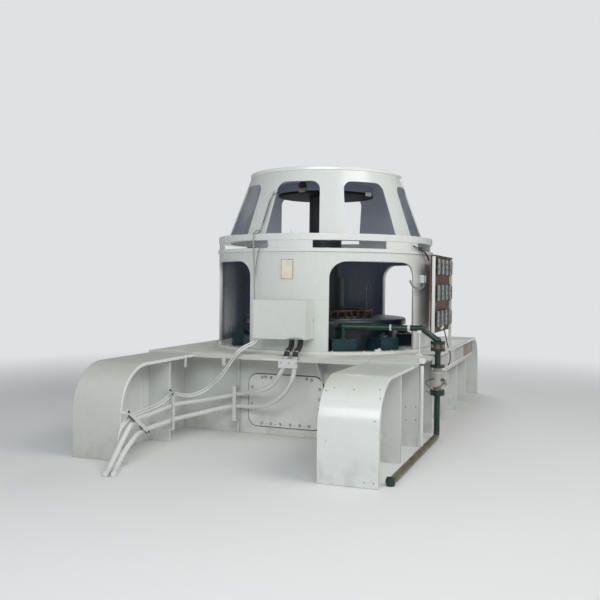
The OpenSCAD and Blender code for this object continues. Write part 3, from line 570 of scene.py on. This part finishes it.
# each rim starts as its outline, a strip grown inwards from the drum's outside
RIM_FOOT, RIM_TOP, RIM_CORNER, RIM_DEEP, RIM_THICK = 0.888, 1.8115, 0.17, 0.036, 0.006
CORNER_STEPS = 10
half = drum_radius * sin(radians(OPENING_HALF)) - 0.0005
corner_x, corner_z = half - RIM_CORNER, RIM_TOP - RIM_CORNER
quarter = [radians(90 * step / CORNER_STEPS) for step in range(CORNER_STEPS + 1)]
outline = [(-half, RIM_FOOT)]
outline += [(-corner_x - RIM_CORNER * cos(a), corner_z + RIM_CORNER * sin(a)) for a in quarter]
outline += [(corner_x + RIM_CORNER * sin(a), corner_z + RIM_CORNER * cos(a)) for a in quarter]
outline += [(half, RIM_FOOT)]
rims = bmesh.new()
for azimuth in OPENINGS:
    turn = Matrix.Rotation(radians(azimuth), 4, "Z")
    bent = [rims.verts.new(turn @ Vector((u, -sqrt((drum_radius + 0.001) ** 2 - u * u), z)))
            for u, z in outline]
    strips = [rims.edges.new(pair) for pair in zip(bent, bent[1:])]
    grown = bmesh.ops.extrude_edge_only(rims, edges=strips)["geom"]
    bmesh.ops.translate(rims, verts=[v for v in grown if isinstance(v, bmesh.types.BMVert)],
                        vec=turn @ Vector((0, RIM_DEEP, 0)))
bmesh.ops.recalc_face_normals(rims, faces=rims.faces)
rim_enamel = enamel("rim_enamel", clean="eceeeb", dust=0.3)
rim = piece("door_rims", rims, rim_enamel)
thick = rim.modifiers.new("thickness", "SOLIDIFY")
thick.thickness, thick.offset, thick.use_even_offset = RIM_THICK, 0.0, True

# a bare plate on the front, in a thin red frame
SIGN_X, SIGN_Z, SIGN_WIDE, SIGN_HIGH = 0.0085, 1.7235, 0.142, 0.214
LINE_IN, LINE_WIDE = 0.010, 0.005
sign = bmesh.new()
rounded_plate(sign, SIGN_WIDE, SIGN_HIGH, 0.002, 0.008,
              (SIGN_X, -drum_radius - 0.0025, SIGN_Z))
sign_face = Finish("sign_face", Roughness=0.38)
stain = sign_face.noise(14.0, 5)
across, upwards = (abs(sign_face.axis(axis) - middle) - (size / 2 - LINE_IN)
                   for axis, middle, size in (("X", SIGN_X, SIGN_WIDE), ("Z", SIGN_Z, SIGN_HIGH)))
gap = across.most(upwards)
red_line = (sign_face.between(gap, -0.0005, 0.0005)
            * (1 - sign_face.between(gap, LINE_WIDE - 0.0005, LINE_WIDE + 0.0005)))
base = sign_face.mottled(stain, "e6e0d2", "d3c9b6", 0.4, 0.8)
sign_face = sign_face.feed(Base_Color=sign_face.mix(red_line, base, shade("a8433a")))
piece("sign_plate", sign, sign_face, rounding=0.0006)


# Ring band and cone
# Two flat rings with short plates between them leave the air slot, and on
# them stands the conical top: pillars between four windows and a wide
# opening at the rear, a plain crown above, and a sunk lid behind a rolled lip.
band_enamel = enamel("band_enamel", dust=0.4)
dress("band_lower", "ring", band_enamel, 0.003)
dress("band_posts", "plates", band_enamel, 0.001)
dress("band_upper", "ring", band_enamel, 0.004)
CONE_INSIDE, CONE_SLOPE = 1.1152, 0.37346    # radius at the foot, and its loss per metre up
cone_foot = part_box("band_upper")[1].z


def inside_cone(coat):
    """1 on the cone's inner face, from the radius that each height has down at the foot."""
    level = coat.radius() + (coat.axis("Z") - cone_foot) * CONE_SLOPE
    return 1 - coat.between(level, CONE_INSIDE, CONE_INSIDE + 0.001)


# inside, a pale blue-grey made brighter as painted light from the windows
cone_enamel = enamel("cone_enamel", clean="dee1de", dust=0.4, inner=inside_cone,
                     within="dbe2f2")
dress("cone_pillars", "sheet", cone_enamel, 0.0015)
dress("cone_crown", "sheet", cone_enamel, 0.0015)
lid_enamel = enamel("lid_enamel", clean="ecedea", dust=0.5)
dress("cone_cover", "lid", lid_enamel, 0.003)
KNOB_AT, KNOB_RADIUS = Vector((0.047, -1.205, cone_foot)), 0.016
knob = bmesh.new()
bmesh.ops.create_uvsphere(knob, u_segments=18, v_segments=12, radius=KNOB_RADIUS,
                          matrix=stand_on(KNOB_AT + UP * KNOB_RADIUS, UP))
rod(knob, KNOB_AT - UP * 0.001, KNOB_AT + UP * 0.015, 0.022, 18, 0.012)
piece("band_knob", knob, lid_enamel)


# Inside the housing
# The bearing's oil tub stands on the deck round the shaft, with the heads of
# its oil coolers beside it and a dark red water ring above. Up in the cone
# turns the disc of the speed generator, with its small motor on top.
pale_lead = Finish("pale_lead", Roughness=0.5)
mottle = pale_lead.noise(30.0, 4)
pale_lead = pale_lead.feed(Base_Color=pale_lead.mix(mottle, shade("a4a6a8"), shade("85888c")))


def machine_paint(name, first, second, rough=0.35):
    """Smooth machine paint in two close shades, under a film of dust on top."""
    paint = Finish(name)
    film = paint.noise(5.0, 7, 0.6)
    dust_film = paint.upward(0.6, 1.0) * paint.between(film, 0.3, 0.7, to=(0.05, 0.3))
    base = paint.mottled(film, first, second)
    return paint.feed(Base_Color=paint.mix(dust_film, base, shade("6f6c64")),
                      Roughness=rough + dust_film * 0.5,
                      Normal=paint.bump(paint.noise(70.0, 3), 0.08, 0.002))


navy = machine_paint("navy_paint", "1f3036", "17242b", 0.3)
teal = machine_paint("teal_paint", "1c3d45", "163138", 0.35)
steel = machine_paint("dark_steel", "2b2e33", "1e2125", 0.45)
oxide = machine_paint("oxide_red", "4a201d", "341516", 0.25)
assign("shaft_column", steel)
dress("bearing_housing", "tub", navy, 0.003)
dress("coolers", "heads", teal, 0.010)
# two coolers in each opening, each with a bolted cover and a domed cap on top,
# save the one where the water pipe comes down
COOLER_OFF, PIPED_COOLER = 15, 30    # degrees, from the opening's middle and from the front
COVER_FACE, COVER_THICK, CAP_AT = 1.072, 0.012, 0.962
cooler_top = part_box("coolers")[1].z
covers = bmesh.new()
for azimuth in (opening + off for opening in OPENINGS for off in (-COOLER_OFF, COOLER_OFF)):
    turn = Matrix.Rotation(radians(azimuth), 4, "Z")
    block(covers, turn @ Vector((0, COVER_THICK / 2 - COVER_FACE, 0.925)),
          (0.266, COVER_THICK, 0.150), 0.004, turn)
    for x in (-0.112, 0, 0.112):
        for z in (0.866, 0.984):
            bolt(covers, turn @ Vector((x, -COVER_FACE, z)), turn @ FRONT, 0.016, 0.009)
    if azimuth == PIPED_COOLER:
        continue
    top = turn @ Vector((0, -CAP_AT, cooler_top))
    rod(covers, top, top + UP * 0.012, 0.088, 28)
    low_dome = Matrix.Translation(top + UP * 0.010) @ Matrix.Diagonal((1, 1, 0.5, 1))
    bmesh.ops.create_uvsphere(covers, u_segments=24, v_segments=12, radius=0.066,
                              matrix=low_dome)
    rod(covers, top, top + UP * 0.062, 0.017, 14)
piece("cooler_covers", covers, teal, rounding=0.0015, steps=1)
# the disc is dark, partly its paint and partly painted shade on its unlit underside, with a paler
# rim above its lower edge
RIM_RADIUS, RIM_FROM = 0.540, 2.604
disc_shaded_paint = Finish("disc_shaded_paint", Roughness=0.6, Specular_IOR_Level=0.08)
rim_here = (disc_shaded_paint.between(disc_shaded_paint.radius(), RIM_RADIUS, RIM_RADIUS + 0.005)
            * disc_shaded_paint.between(disc_shaded_paint.axis("Z"), RIM_FROM, RIM_FROM + 0.006))
film = disc_shaded_paint.noise(6.0, 5)
base = disc_shaded_paint.mottled(film, "202328", "17191d")
disc_shaded_paint = disc_shaded_paint.feed(Base_Color=disc_shaded_paint.mix(rim_here, base, shade("8a92a2")))
dress("exciter_disc", "body", disc_shaded_paint, 0.006)
dress("disc_motor", "body", machine_paint("motor_grey", "a59d84", "8c856f"), 0.004)
# a pickup on the disc's edge, on its base, and a small lamp at the right
PICKUP_X, PICKUP_Z = -0.0870, 2.660
pickup = bmesh.new()
block(pickup, (PICKUP_X, -0.5650, PICKUP_Z - 0.048), (0.080, 0.030, 0.050), 0.004)
piece("pickup_base", pickup, machine_paint("beige_paint", "8d8676", "777162"))
sensor = bmesh.new()
rod(sensor, (PICKUP_X, -0.556, PICKUP_Z), (PICKUP_X, -0.604, PICKUP_Z), 0.038, 24, 0.030)
rod(sensor, (PICKUP_X, -0.552, PICKUP_Z), (PICKUP_X, -0.562, PICKUP_Z), 0.046, 24)
piece("pickup_sensor", sensor, steel, rounding=0.002)
LAMP_AT, LAMP_TURN = (0.548, -0.118, 2.592), -12
lamp_case = bmesh.new()
block(lamp_case, LAMP_AT, (0.034, 0.095, 0.042), 0.005,
      Matrix.Rotation(radians(LAMP_TURN), 4, "Z"))
# the lamp case is white, pushed to full brightness as painted light where light falls on it
lamp_white = enamel("lamp_white", clean="f4f5f5", dust=0.1)
piece("disc_lamp", lamp_case, lamp_white)
assign("service_ring", oxide)
# fittings round the ring, each a stem with a nut and a cap, and a branch inwards:
# lower and upper end, radius, sides and end radius
STEM = (1.194, 1.262, 0.012, 12, None)
NUT = (1.236, 1.250, 0.026, 6, None)
CAP = (1.262, 1.280, 0.020, 12, 0.012)
BRANCH_Z, BRANCH_END = 1.225, 0.90
fittings = bmesh.new()
for x, y in ((0.255, -0.565), (0.330, -0.525), (0.399, -0.475), (0.455, -0.420), (0.512, -0.350),
             (0.565, -0.255), (0.604, -0.141), (-0.42, -0.46), (-0.55, -0.29), (-0.60, -0.12)):
    for low_z, high_z, radius, sides, end in (STEM, NUT, CAP):
        rod(fittings, (x, y, low_z), (x, y, high_z), radius, sides, end)
    rod(fittings, (x, y, BRANCH_Z), (x * BRANCH_END, y * BRANCH_END, BRANCH_Z), 0.009, 12)
piece("ring_fittings", fittings, machine_paint("rusty_fittings", "46302a", "2c201d", 0.5),
      rounding=0.001, steps=1)
# a lead down the inside of the rear wall, in three clips
wall_lead = bmesh.new()
rod(wall_lead, (0.173, 1.204, 1.561), (0.180, 1.203, 1.074), 0.008, 12)
for z in (1.12, 1.32, 1.52):
    block(wall_lead, (0.176, 1.208, z), (0.040, 0.012, 0.014), 0.002)
piece("wall_lead", wall_lead, pale_lead)


# Terminal box
# A welded sheet box on the front of the housing, where the machine's own
# cables come out through an arched notch in its foot.
box_enamel = enamel("box_enamel", clean="dfe1dc", dust=0.35)
dress("terminal_box", "shell", box_enamel, 0.006)


# Cables
# Two heavy cables and a pair of thin ones run from the box down the front
# wall and along the left beam to the floor. Their sheaths are painted over
# in white, except by the box, where they are still black.
def tube(name, route, radius, finish, sides):
    """A round cable that passes smoothly through the route's points, in millimetres."""
    curve = bpy.data.curves.new(name, "CURVE")
    curve.dimensions = "3D"
    curve.bevel_depth, curve.bevel_resolution = radius, sides
    curve.use_fill_caps, curve.resolution_u = True, 6
    spline = curve.splines.new("BEZIER")
    spline.bezier_points.add(len(route) - 1)
    for point, at in zip(spline.bezier_points, route):
        point.co = Vector(at) / 1000
        point.handle_left_type = point.handle_right_type = "AUTO"
    curve.materials.append(finish)
    made = bpy.data.objects.new(name, curve)
    scene.collection.objects.link(made)
    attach(made, "root")
    return made


sheath = Finish("cable_sheath")
grime = sheath.noise(18.0, 6, 0.65)
bare = sheath.between(sheath.axis("Z") + grime * 0.05, 0.878, 0.890)
base = sheath.mottled(grime, "dfe0dc", "c2beb5", 0.55, 0.85)
sheath = sheath.feed(Base_Color=sheath.mix(bare, base, shade("2b2b2c")),
                     Roughness=sheath.between(grime, 0.3, 0.7, to=(0.40, 0.6)),
                     Normal=sheath.bump(grime, 0.12, 0.002))
UPPER = ((126, -1380, 1018), (127, -1384, 985), (134, -1440, 930), (139, -1536, 904),
         (140, -1567, 850), (128, -1567, 790), (84, -1562, 700), (20, -1520, 615),
         (-70, -1480, 540), (-200, -1440, 488), (-360, -1345, 446), (-512, -1296, 412),
         (-650, -1340, 384), (-780, -1500, 366), (-850, -1720, 366), (-876, -1950, 376),
         (-882, -2200, 366), (-876, -2450, 352), (-866, -2700, 340), (-847, -2860, 245),
         (-824, -3010, 142), (-792, -3140, 70), (-757, -3240, 34), (-728, -3320, 24))
LOWER = ((220, -1380, 1018), (221, -1384, 985), (224, -1440, 930), (229, -1536, 904),
         (233, -1567, 850), (233, -1568, 790), (212, -1566, 660), (160, -1540, 560),
         (70, -1500, 460), (-30, -1460, 385), (-150, -1400, 330), (-330, -1320, 298),
         (-512, -1296, 288), (-660, -1370, 266), (-780, -1520, 240), (-850, -1720, 230),
         (-876, -1950, 233), (-880, -2200, 228), (-876, -2430, 226), (-862, -2620, 222),
         (-822, -2790, 186), (-802, -2940, 116), (-763, -3090, 52), (-711, -3210, 26),
         (-664, -3300, 24))
TWIN = ((-256, -1425, 1018), (-257, -1428, 1000), (-288, -1500, 966), (-332, -1560, 934),
        (-372, -1585, 897), (-412, -1585, 852), (-446, -1578, 812), (-505, -1564, 735),
        (-611, -1552, 606), (-700, -1540, 530), (-780, -1590, 470), (-850, -1740, 448),
        (-890, -1930, 484), (-884, -2060, 478), (-886, -2240, 432), (-884, -2400, 417),
        (-882, -2620, 405), (-880, -2740, 390), (-889, -2820, 352), (-903, -2868, 270),
        (-903, -2885, 180), (-880, -2895, 90), (-840, -2895, 32), (-815, -2890, 25))
for name, route in (("cable_upper", UPPER), ("cable_lower", LOWER)):
    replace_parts(tube(f"{name}_sheath", route, 0.023, sheath, 6), name)
thin_sheath = enamel("thin_sheath", clean="e0e2df", dust=0.3)
# the twin's second wire lies beside the first, below it as far as the way down to the floor
DOWN_FROM = 300
beside = [(x + 17, y - 20, z) if z < DOWN_FROM else (x + 17, y - 10, z - 17)
          for x, y, z in TWIN]
for number, route in enumerate((TWIN, beside), 1):
    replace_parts(tube(f"cable_twin_{number}", route, 0.010, thin_sheath, 4),
                "cable_twin")
strap_enamel = enamel("strap_enamel", clean="dcddd9", dust=0.4)
dress("cable_straps", "flats", strap_enamel, 0.0012)
CONDUIT = ((-257, -1450, 1410), (-259, -1446, 1440), (-290, -1384, 1540), (-322, -1318, 1700),
           (-352, -1262, 1840), (-368, -1234, 1900), (-376, -1226, 1960), (-378, -1222, 2050),
           (-372, -1205, 2105), (-362, -1150, 2128), (-354, -1086, 2134), (-355, -1066, 2160),
           (-329, -1043, 2240), (-298, -983, 2420), (-273, -936, 2560))
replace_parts(tube("conduit_left_hose", CONDUIT, 0.007, pale_lead, 4),
            "conduit_left")
SLACK = ((-373, -1206, 1629), (-357, -1210, 1713), (-339, -1214, 1817), (-322, -1226, 1880),
         (-302, -1250, 1925), (-262, -1262, 1956), (-231, -1252, 1972), (-205, -1225, 1975))
tube("slack_wire", SLACK, 0.006, pale_lead, 3)
THIN = ((-204, -942, 2551), (-258, -938, 2532), (-294, -944, 2496), (-327, -986, 2362),
        (-351, -1031, 2228), (-379, -1068, 2116), (-392, -1120, 2101), (-398, -1190, 2100))
tube("cone_wire", THIN, 0.0035, rubber, 3)
BOOT_POINTS = 5
for number, route in enumerate((UPPER, LOWER), 1):
    tube(f"cable_boot_{number}", route[:BOOT_POINTS], 0.0272, rubber, 6)

# ties and glands on the black stretch, and bolts through the clamp at the deck's edge;
# each cable drifts a little to the right on its way down
TIE_AXIS, TIE_HALF = Vector((0.02, -0.35, -0.94)), 0.004
ties = bmesh.new()
for route, drift in ((UPPER, 0.013 / 0.115), (LOWER, 0.009 / 0.115)):
    for down, out in ((0.112, 0.156), (0.168, 0.187)):
        middle = Vector(route[0]) / 1000 + Vector((drift * down, -out, -down))
        rod(ties, middle - TIE_AXIS * TIE_HALF, middle + TIE_AXIS * TIE_HALF, 0.0285, 20)
for x in (0.140, 0.233):
    rod(ties, (x - 0.001, -1.5672, 0.862), (x - 0.001, -1.5675, 0.842), 0.0300, 24)
    rod(ties, (x - 0.004, -1.5675, 0.764), (x - 0.008, -1.5672, 0.744), 0.0285, 24)
for x in (0.098, 0.187, 0.258):
    bolt(ties, (x, -1.6025, 0.803), FRONT, 0.017, 0.010)
piece("cable_glands", ties, bolt_steel, rounding=0.0012)
edge_plate = bmesh.new()
block(edge_plate, (-0.041, -1.5365, 0.8205), (0.194, 0.013, 0.022), 0.002)
piece("deck_edge_plate", edge_plate, enamel("edge_enamel", dust=0.4))

# bolts through the bar that holds the cables on the left beam, and its hook
BAR_AT, BAR_TILT = (-0.832, -2.669, 0.328), -35.4
bar_bolts = bmesh.new()
tilt = Matrix.Rotation(radians(BAR_TILT), 4, "X")
bar = Matrix.Translation(BAR_AT) @ tilt
for along in (-0.200, 0.200):
    bolt(bar_bolts, bar @ Vector((0.0005, along, 0)), RIGHT, 0.015, 0.009)
    rod(bar_bolts, bar @ Vector((-0.070, along, 0)), bar @ Vector((0.002, along, 0)), 0.004, 10)
for along, long in ((-0.122, 0.120), (0.060, 0.060), (0.168, 0.050)):
    block(bar_bolts, bar @ Vector((0.001, along, -0.0255)), (0.012, long, 0.010), 0.002, tilt)
rod(bar_bolts, (-0.878, -2.044, 0.524), (-0.834, -2.044, 0.506), 0.0065, 12)
for at in ((-0.8395, -2.0605, 0.495), (-0.872, -2.052, 0.532)):
    bolt(bar_bolts, at, FRONT, 0.013, 0.009)
piece("bar_bolts", bar_bolts, dark_metal)
# two cut ends that hang from the lower cable to the floor
TAILS = (((-812, -2866, 142), (-824, -2880, 116), (-815, -2884, 60), (-805, -2888, 8)),
         ((-806, -2975, 98), (-807, -2992, 62), (-813, -3000, 8)))
for number, tail in enumerate(TAILS, 1):
    tube(f"cable_tail_{number}", tail, 0.005, thin_sheath, 3)


# Cooling water pipe
# Welded pipe in dark green paint brings cooling water from the floor through
# a flow meter and over the deck to the coolers. The stretch along the floor
# is olive brown, with a dark green shoe at its end.
def pipe_paint(name, first, second, chip):
    """Glossy pipe paint in two close shades, chipped down to a third colour."""
    paint = Finish(name, Coat_Weight=0.1, Coat_Roughness=0.15)
    film = paint.noise(9.0, 6, 0.6)
    chips = paint.between(paint.noise(38.0, 4, 0.6), 0.66, 0.70)
    base = paint.mottled(film, first, second)
    return paint.feed(Base_Color=paint.mix(chips * 0.8, base, shade(chip)),
                      Roughness=paint.between(film, 0.3, 0.7, to=(0.2, 0.38)),
                      Normal=paint.bump(film, 0.10, 0.003))


green = pipe_paint("green_pipe_paint", "183a2f", "112b25", "3c3a30")
for node in ("pipe_upper", "pipe_riser"):
    dress(node, "run", green, 0.002)
floor_paint = Finish("floor_pipe_paint", Coat_Weight=0.12, Coat_Roughness=0.2)
film = floor_paint.noise(11.0, 7, 0.62)
shoe = 1 - floor_paint.between(floor_paint.axis("Y"), -2.650, -2.645)
base = floor_paint.mottled(film, "6a6145", "4a4430", 0.35)
floor_paint = floor_paint.feed(Base_Color=floor_paint.mix(shoe, base, shade("1c3a33")),
                               Roughness=floor_paint.between(film, 0.3, 0.7, to=(0.3, 0.5)),
                               Normal=floor_paint.bump(film, 0.15, 0.003))
assign("pipe_floor", floor_paint)
prop_enamel = enamel("prop_enamel", dust=0.4)
assign("pipe_prop", prop_enamel)

# clamps round the level pipe, and bolts through its flanges
RUN, RUN_TURN = Vector((0.500, -0.866, 1.130)), radians(8.53)
ALONG = Vector((cos(RUN_TURN), sin(RUN_TURN), 0))
clamps = bmesh.new()
for at, wide in ((0.498, 0.018), (0.686, 0.026)):
    middle = RUN + ALONG * at
    rod(clamps, middle - ALONG * wide / 2, middle + ALONG * wide / 2, 0.0335, 24)
    for side in (-1, 1):
        ear = middle + Vector((-ALONG.y, ALONG.x, 0)) * side * 0.041
        block(clamps, ear, (wide, 0.020, 0.010), 0.002, Matrix.Rotation(RUN_TURN, 4, "Z"))
        bolt(clamps, ear + UP * 0.005, UP, 0.012, 0.008, washer=False)
piece("pipe_clamps", clamps, prop_enamel, rounding=0.001, steps=1)
# studs through the flanges over and under the meter, and two bolts in the pipe's shoe
RISER_X, RISER_Y, STUD_CIRCLE, STUDS, FIRST_STUD = 1.474, -0.720, 0.0635, 6, 12
studs = bmesh.new()
for low_z, high_z in ((0.904, 1.000), (0.451, 0.503)):
    for step in range(STUDS):
        turn = radians(step * 360 / STUDS + FIRST_STUD)
        x, y = RISER_X + STUD_CIRCLE * cos(turn), RISER_Y + STUD_CIRCLE * sin(turn)
        rod(studs, (x, y, low_z), (x, y, high_z), 0.0055, 10)
        bolt(studs, (x, y, high_z), UP, 0.014, 0.007, washer=False)
        bolt(studs, (x, y, low_z), -UP, 0.014, 0.007, washer=False)
for side in (-1, 1):
    bolt(studs, (RISER_X + side * 0.022, -2.690, 0.060), UP, 0.018, 0.012, washer=False)
piece("flange_studs", studs, dark_metal)
COLLAR_RADIUS = 0.0375
collar = bmesh.new()
rod(collar, (RISER_X, -2.702, COLLAR_RADIUS), (RISER_X, -2.684, COLLAR_RADIUS), COLLAR_RADIUS, 24)
piece("pipe_collar", collar, green, rounding=0.0015)


# Flow meter
# A cast barrel between two flanges in the riser, with its round head and
# window turned to the aisle.
LOWER_FLANGE, UPPER_STUB, WAFER = 0.5030, 0.7345, 0.9298    # heights where colours change
meter_paint = Finish("meter_paint", Coat_Weight=0.4, Coat_Roughness=0.12)
z_here = meter_paint.axis("Z")
film = meter_paint.noise(12.0, 5)
green_here = (meter_paint.between(z_here, UPPER_STUB, UPPER_STUB + 0.0005)
              + (1 - meter_paint.between(z_here, LOWER_FLANGE, LOWER_FLANGE + 0.0005)))
wafer_here = meter_paint.between(z_here, WAFER, WAFER + 0.0004)
base = meter_paint.mottled(film, "b9b7b2", "a5a29c")
base = meter_paint.mix(meter_paint.between(green_here, 0.2, 0.8), base, shade("152924"))
base = meter_paint.mix(wafer_here, base, shade("6f665a"))
meter_paint = meter_paint.feed(Base_Color=base,
                               Roughness=meter_paint.between(film, 0.3, 0.7, to=(0.25, 0.4)))
dress("flow_meter", "body", meter_paint, 0.003)
window = bmesh.new()
block(window, (1.541, -0.7945, 0.6190), (0.040, 0.010, 0.034), 0.003)
meter_glass = enamel("meter_glass", clean="66696f", dust=0.1)
piece("meter_window", window, meter_glass)
LEADS = (((1500, -790, 640), (1430, -812, 618), (1372, -806, 590), (1392, -800, 548),
          (1426, -796, 512), (1398, -800, 486), (1376, -796, 500)),
         ((1560, -786, 590), (1520, -804, 556), (1470, -808, 530), (1436, -800, 540)))
for number, route in enumerate(LEADS, 1):
    tube(f"meter_lead_{number}", route, 0.0035, rubber, 3)


# Drain conduit and junction box
# Small white fittings on the right: an upright tube beside the deck, and a
# cast box on the housing. Above it a lamp guard takes two thin wires.
dress("drain_conduit", "tube", prop_enamel, 0.002)
dress("junction_box", "cast", prop_enamel, 0.004)
DRAIN_X, DRAIN_Y, JUNCTION_Y = 1.458, -1.440, -0.294
lid = bmesh.new()
block(lid, (DRAIN_X + 0.001, DRAIN_Y, 0.868), (0.050, 0.048, 0.056), 0.004)
block(lid, (1.2565, JUNCTION_Y, 1.639), (0.010, 0.052, 0.076), 0.003)
piece("fitting_lids", lid, prop_enamel)
# a dark ring below the conduit's lid, a cap by the terminal box, and the other lid's screws
cap = bmesh.new()
rod(cap, (DRAIN_X, DRAIN_Y, 0.826), (DRAIN_X, DRAIN_Y, 0.838), 0.0225, 20)
rod(cap, (0.300, -1.2365, 1.208), (0.300, -1.2385, 1.208), 0.006, 12)
for z in (1.612, 1.668):
    screw(cap, (1.2615, JUNCTION_Y, z), RIGHT, 0.008)
piece("small_caps", cap, rubber)
LOOP = ((1234, -300, 1600), (1240, -330, 1560), (1222, -400, 1538), (1190, -470, 1540),
        (1160, -530, 1570), (1140, -562, 1620))
tube("box_lead", LOOP, 0.011, pale_lead, 4)
GUARD_MOUTH = (1.300, -0.186, 1.815)
guard = bmesh.new()
rod(guard, (1.232, -0.170, 1.815), GUARD_MOUTH, 0.034, 24, 0.026)
rod(guard, GUARD_MOUTH, (1.312, -0.189, 1.815), 0.030, 24)
piece("lamp_guard", guard, pale_lead, rounding=0.002)
for number, drop, coat in ((1, 0, rubber), (2, 14, oxide)):
    wire = ((1150, -500, 1990), (1172, -480, 1982 - drop), (1212, -382, 1958 - drop),
            (1242, -264, 1925 - drop), (1262, -190, 1860 - drop), (1268, -180, 1836))
    tube(f"lamp_wire_{number}", wire, 0.0045, coat, 3)


# Resistor rack
# Brown boards on white posts beside the housing carry three rows of wound
# resistors, held at both ends by spring clips.
RACK_FRONT, RACK_TOP = 1.3452, 1.8848    # the white rails stand in front of the boards
COLUMNS, ROWS, COLUMN_STEP, ROW_STEP = 4, 3, 0.245, 0.283
FIRST_ELEMENT = Vector((1.3835, -0.2775, 1.207))
WINDINGS, WINDING_STEP, WINDING_HALF = 11, 0.012, 0.0028
rack_paint = Finish("rack_paint", Roughness=0.5, Specular_IOR_Level=0.2)
grain = rack_paint.noise(12.0, 8, 0.65, stretch=(1, 0.25, 3))
white_here = (rack_paint.between(rack_paint.axis("X"), RACK_FRONT, RACK_FRONT + 0.0004)
              * (1 - rack_paint.between(rack_paint.axis("Z"), RACK_TOP, RACK_TOP + 0.0004)))
base = rack_paint.mottled(grain, "5f3d28", "452b1d")
rack_paint = rack_paint.feed(Base_Color=rack_paint.mix(white_here, base, shade("dedfdc")),
                             Normal=rack_paint.bump(grain, 0.15, 0.001))
dress("rack_frame", "boards", rack_paint, 0.0015)
# the elements are banded pale and dark along their turns; the dark between turns is painted shade
# in the grooves
ribbed = Finish("ribbed_steel", Metallic=0.85)
turns = ribbed.node("ShaderNodeTexWave", {"bands_direction": "Z"},
                    {"Vector": ribbed.place, "Scale": 32.0, "Distortion": 0.3})
ribbed = ribbed.feed(Base_Color=ribbed.mix(turns, shade("a6a7a9"), shade("575758")),
                     Roughness=0.34, Normal=ribbed.bump(turns, 0.6, 0.003))
assign("rack_elements", ribbed)
windings, ends, clips = bmesh.new(), bmesh.new(), bmesh.new()
for column in range(COLUMNS):
    for row in range(ROWS):
        middle = FIRST_ELEMENT + Vector((0, column * COLUMN_STEP, row * ROW_STEP))
        for number in range(WINDINGS):
            at = middle + UP * (number - (WINDINGS - 1) / 2) * WINDING_STEP
            rod(windings, at - UP * WINDING_HALF, at + UP * WINDING_HALF, 0.0345, 18)
        for out in (-UP, UP):
            end = middle + out * 0.0770
            rod(ends, end - out * 0.008, end + out * 0.010, 0.022, 18)
            block(clips, end + out * 0.004 - RIGHT * 0.018, (0.040, 0.016, 0.004), 0.001)
            bolt(clips, end + out * 0.009, out, 0.014, 0.008)
piece("rack_windings", windings, ribbed)
piece("rack_ends", ends, pale_lead, rounding=0.0015, steps=1)
piece("rack_clips", clips, dark_metal)
BUS = ((1352, 40, 1150), (1392, 110, 1060), (1408, 160, 960), (1412, 240, 880),
       (1424, 330, 800), (1428, 300, 700), (1420, 230, 660))
tube("rack_lead", BUS, 0.006, rubber, 3)
socket = bmesh.new()
rod(socket, (1.413, 0.260, 0.862), (1.418, 0.300, 0.826), 0.012, 14)
block(socket, (1.372, 0.060, 1.105), (0.024, 0.120, 0.050), 0.003)
piece("rack_socket", socket, prop_enamel)
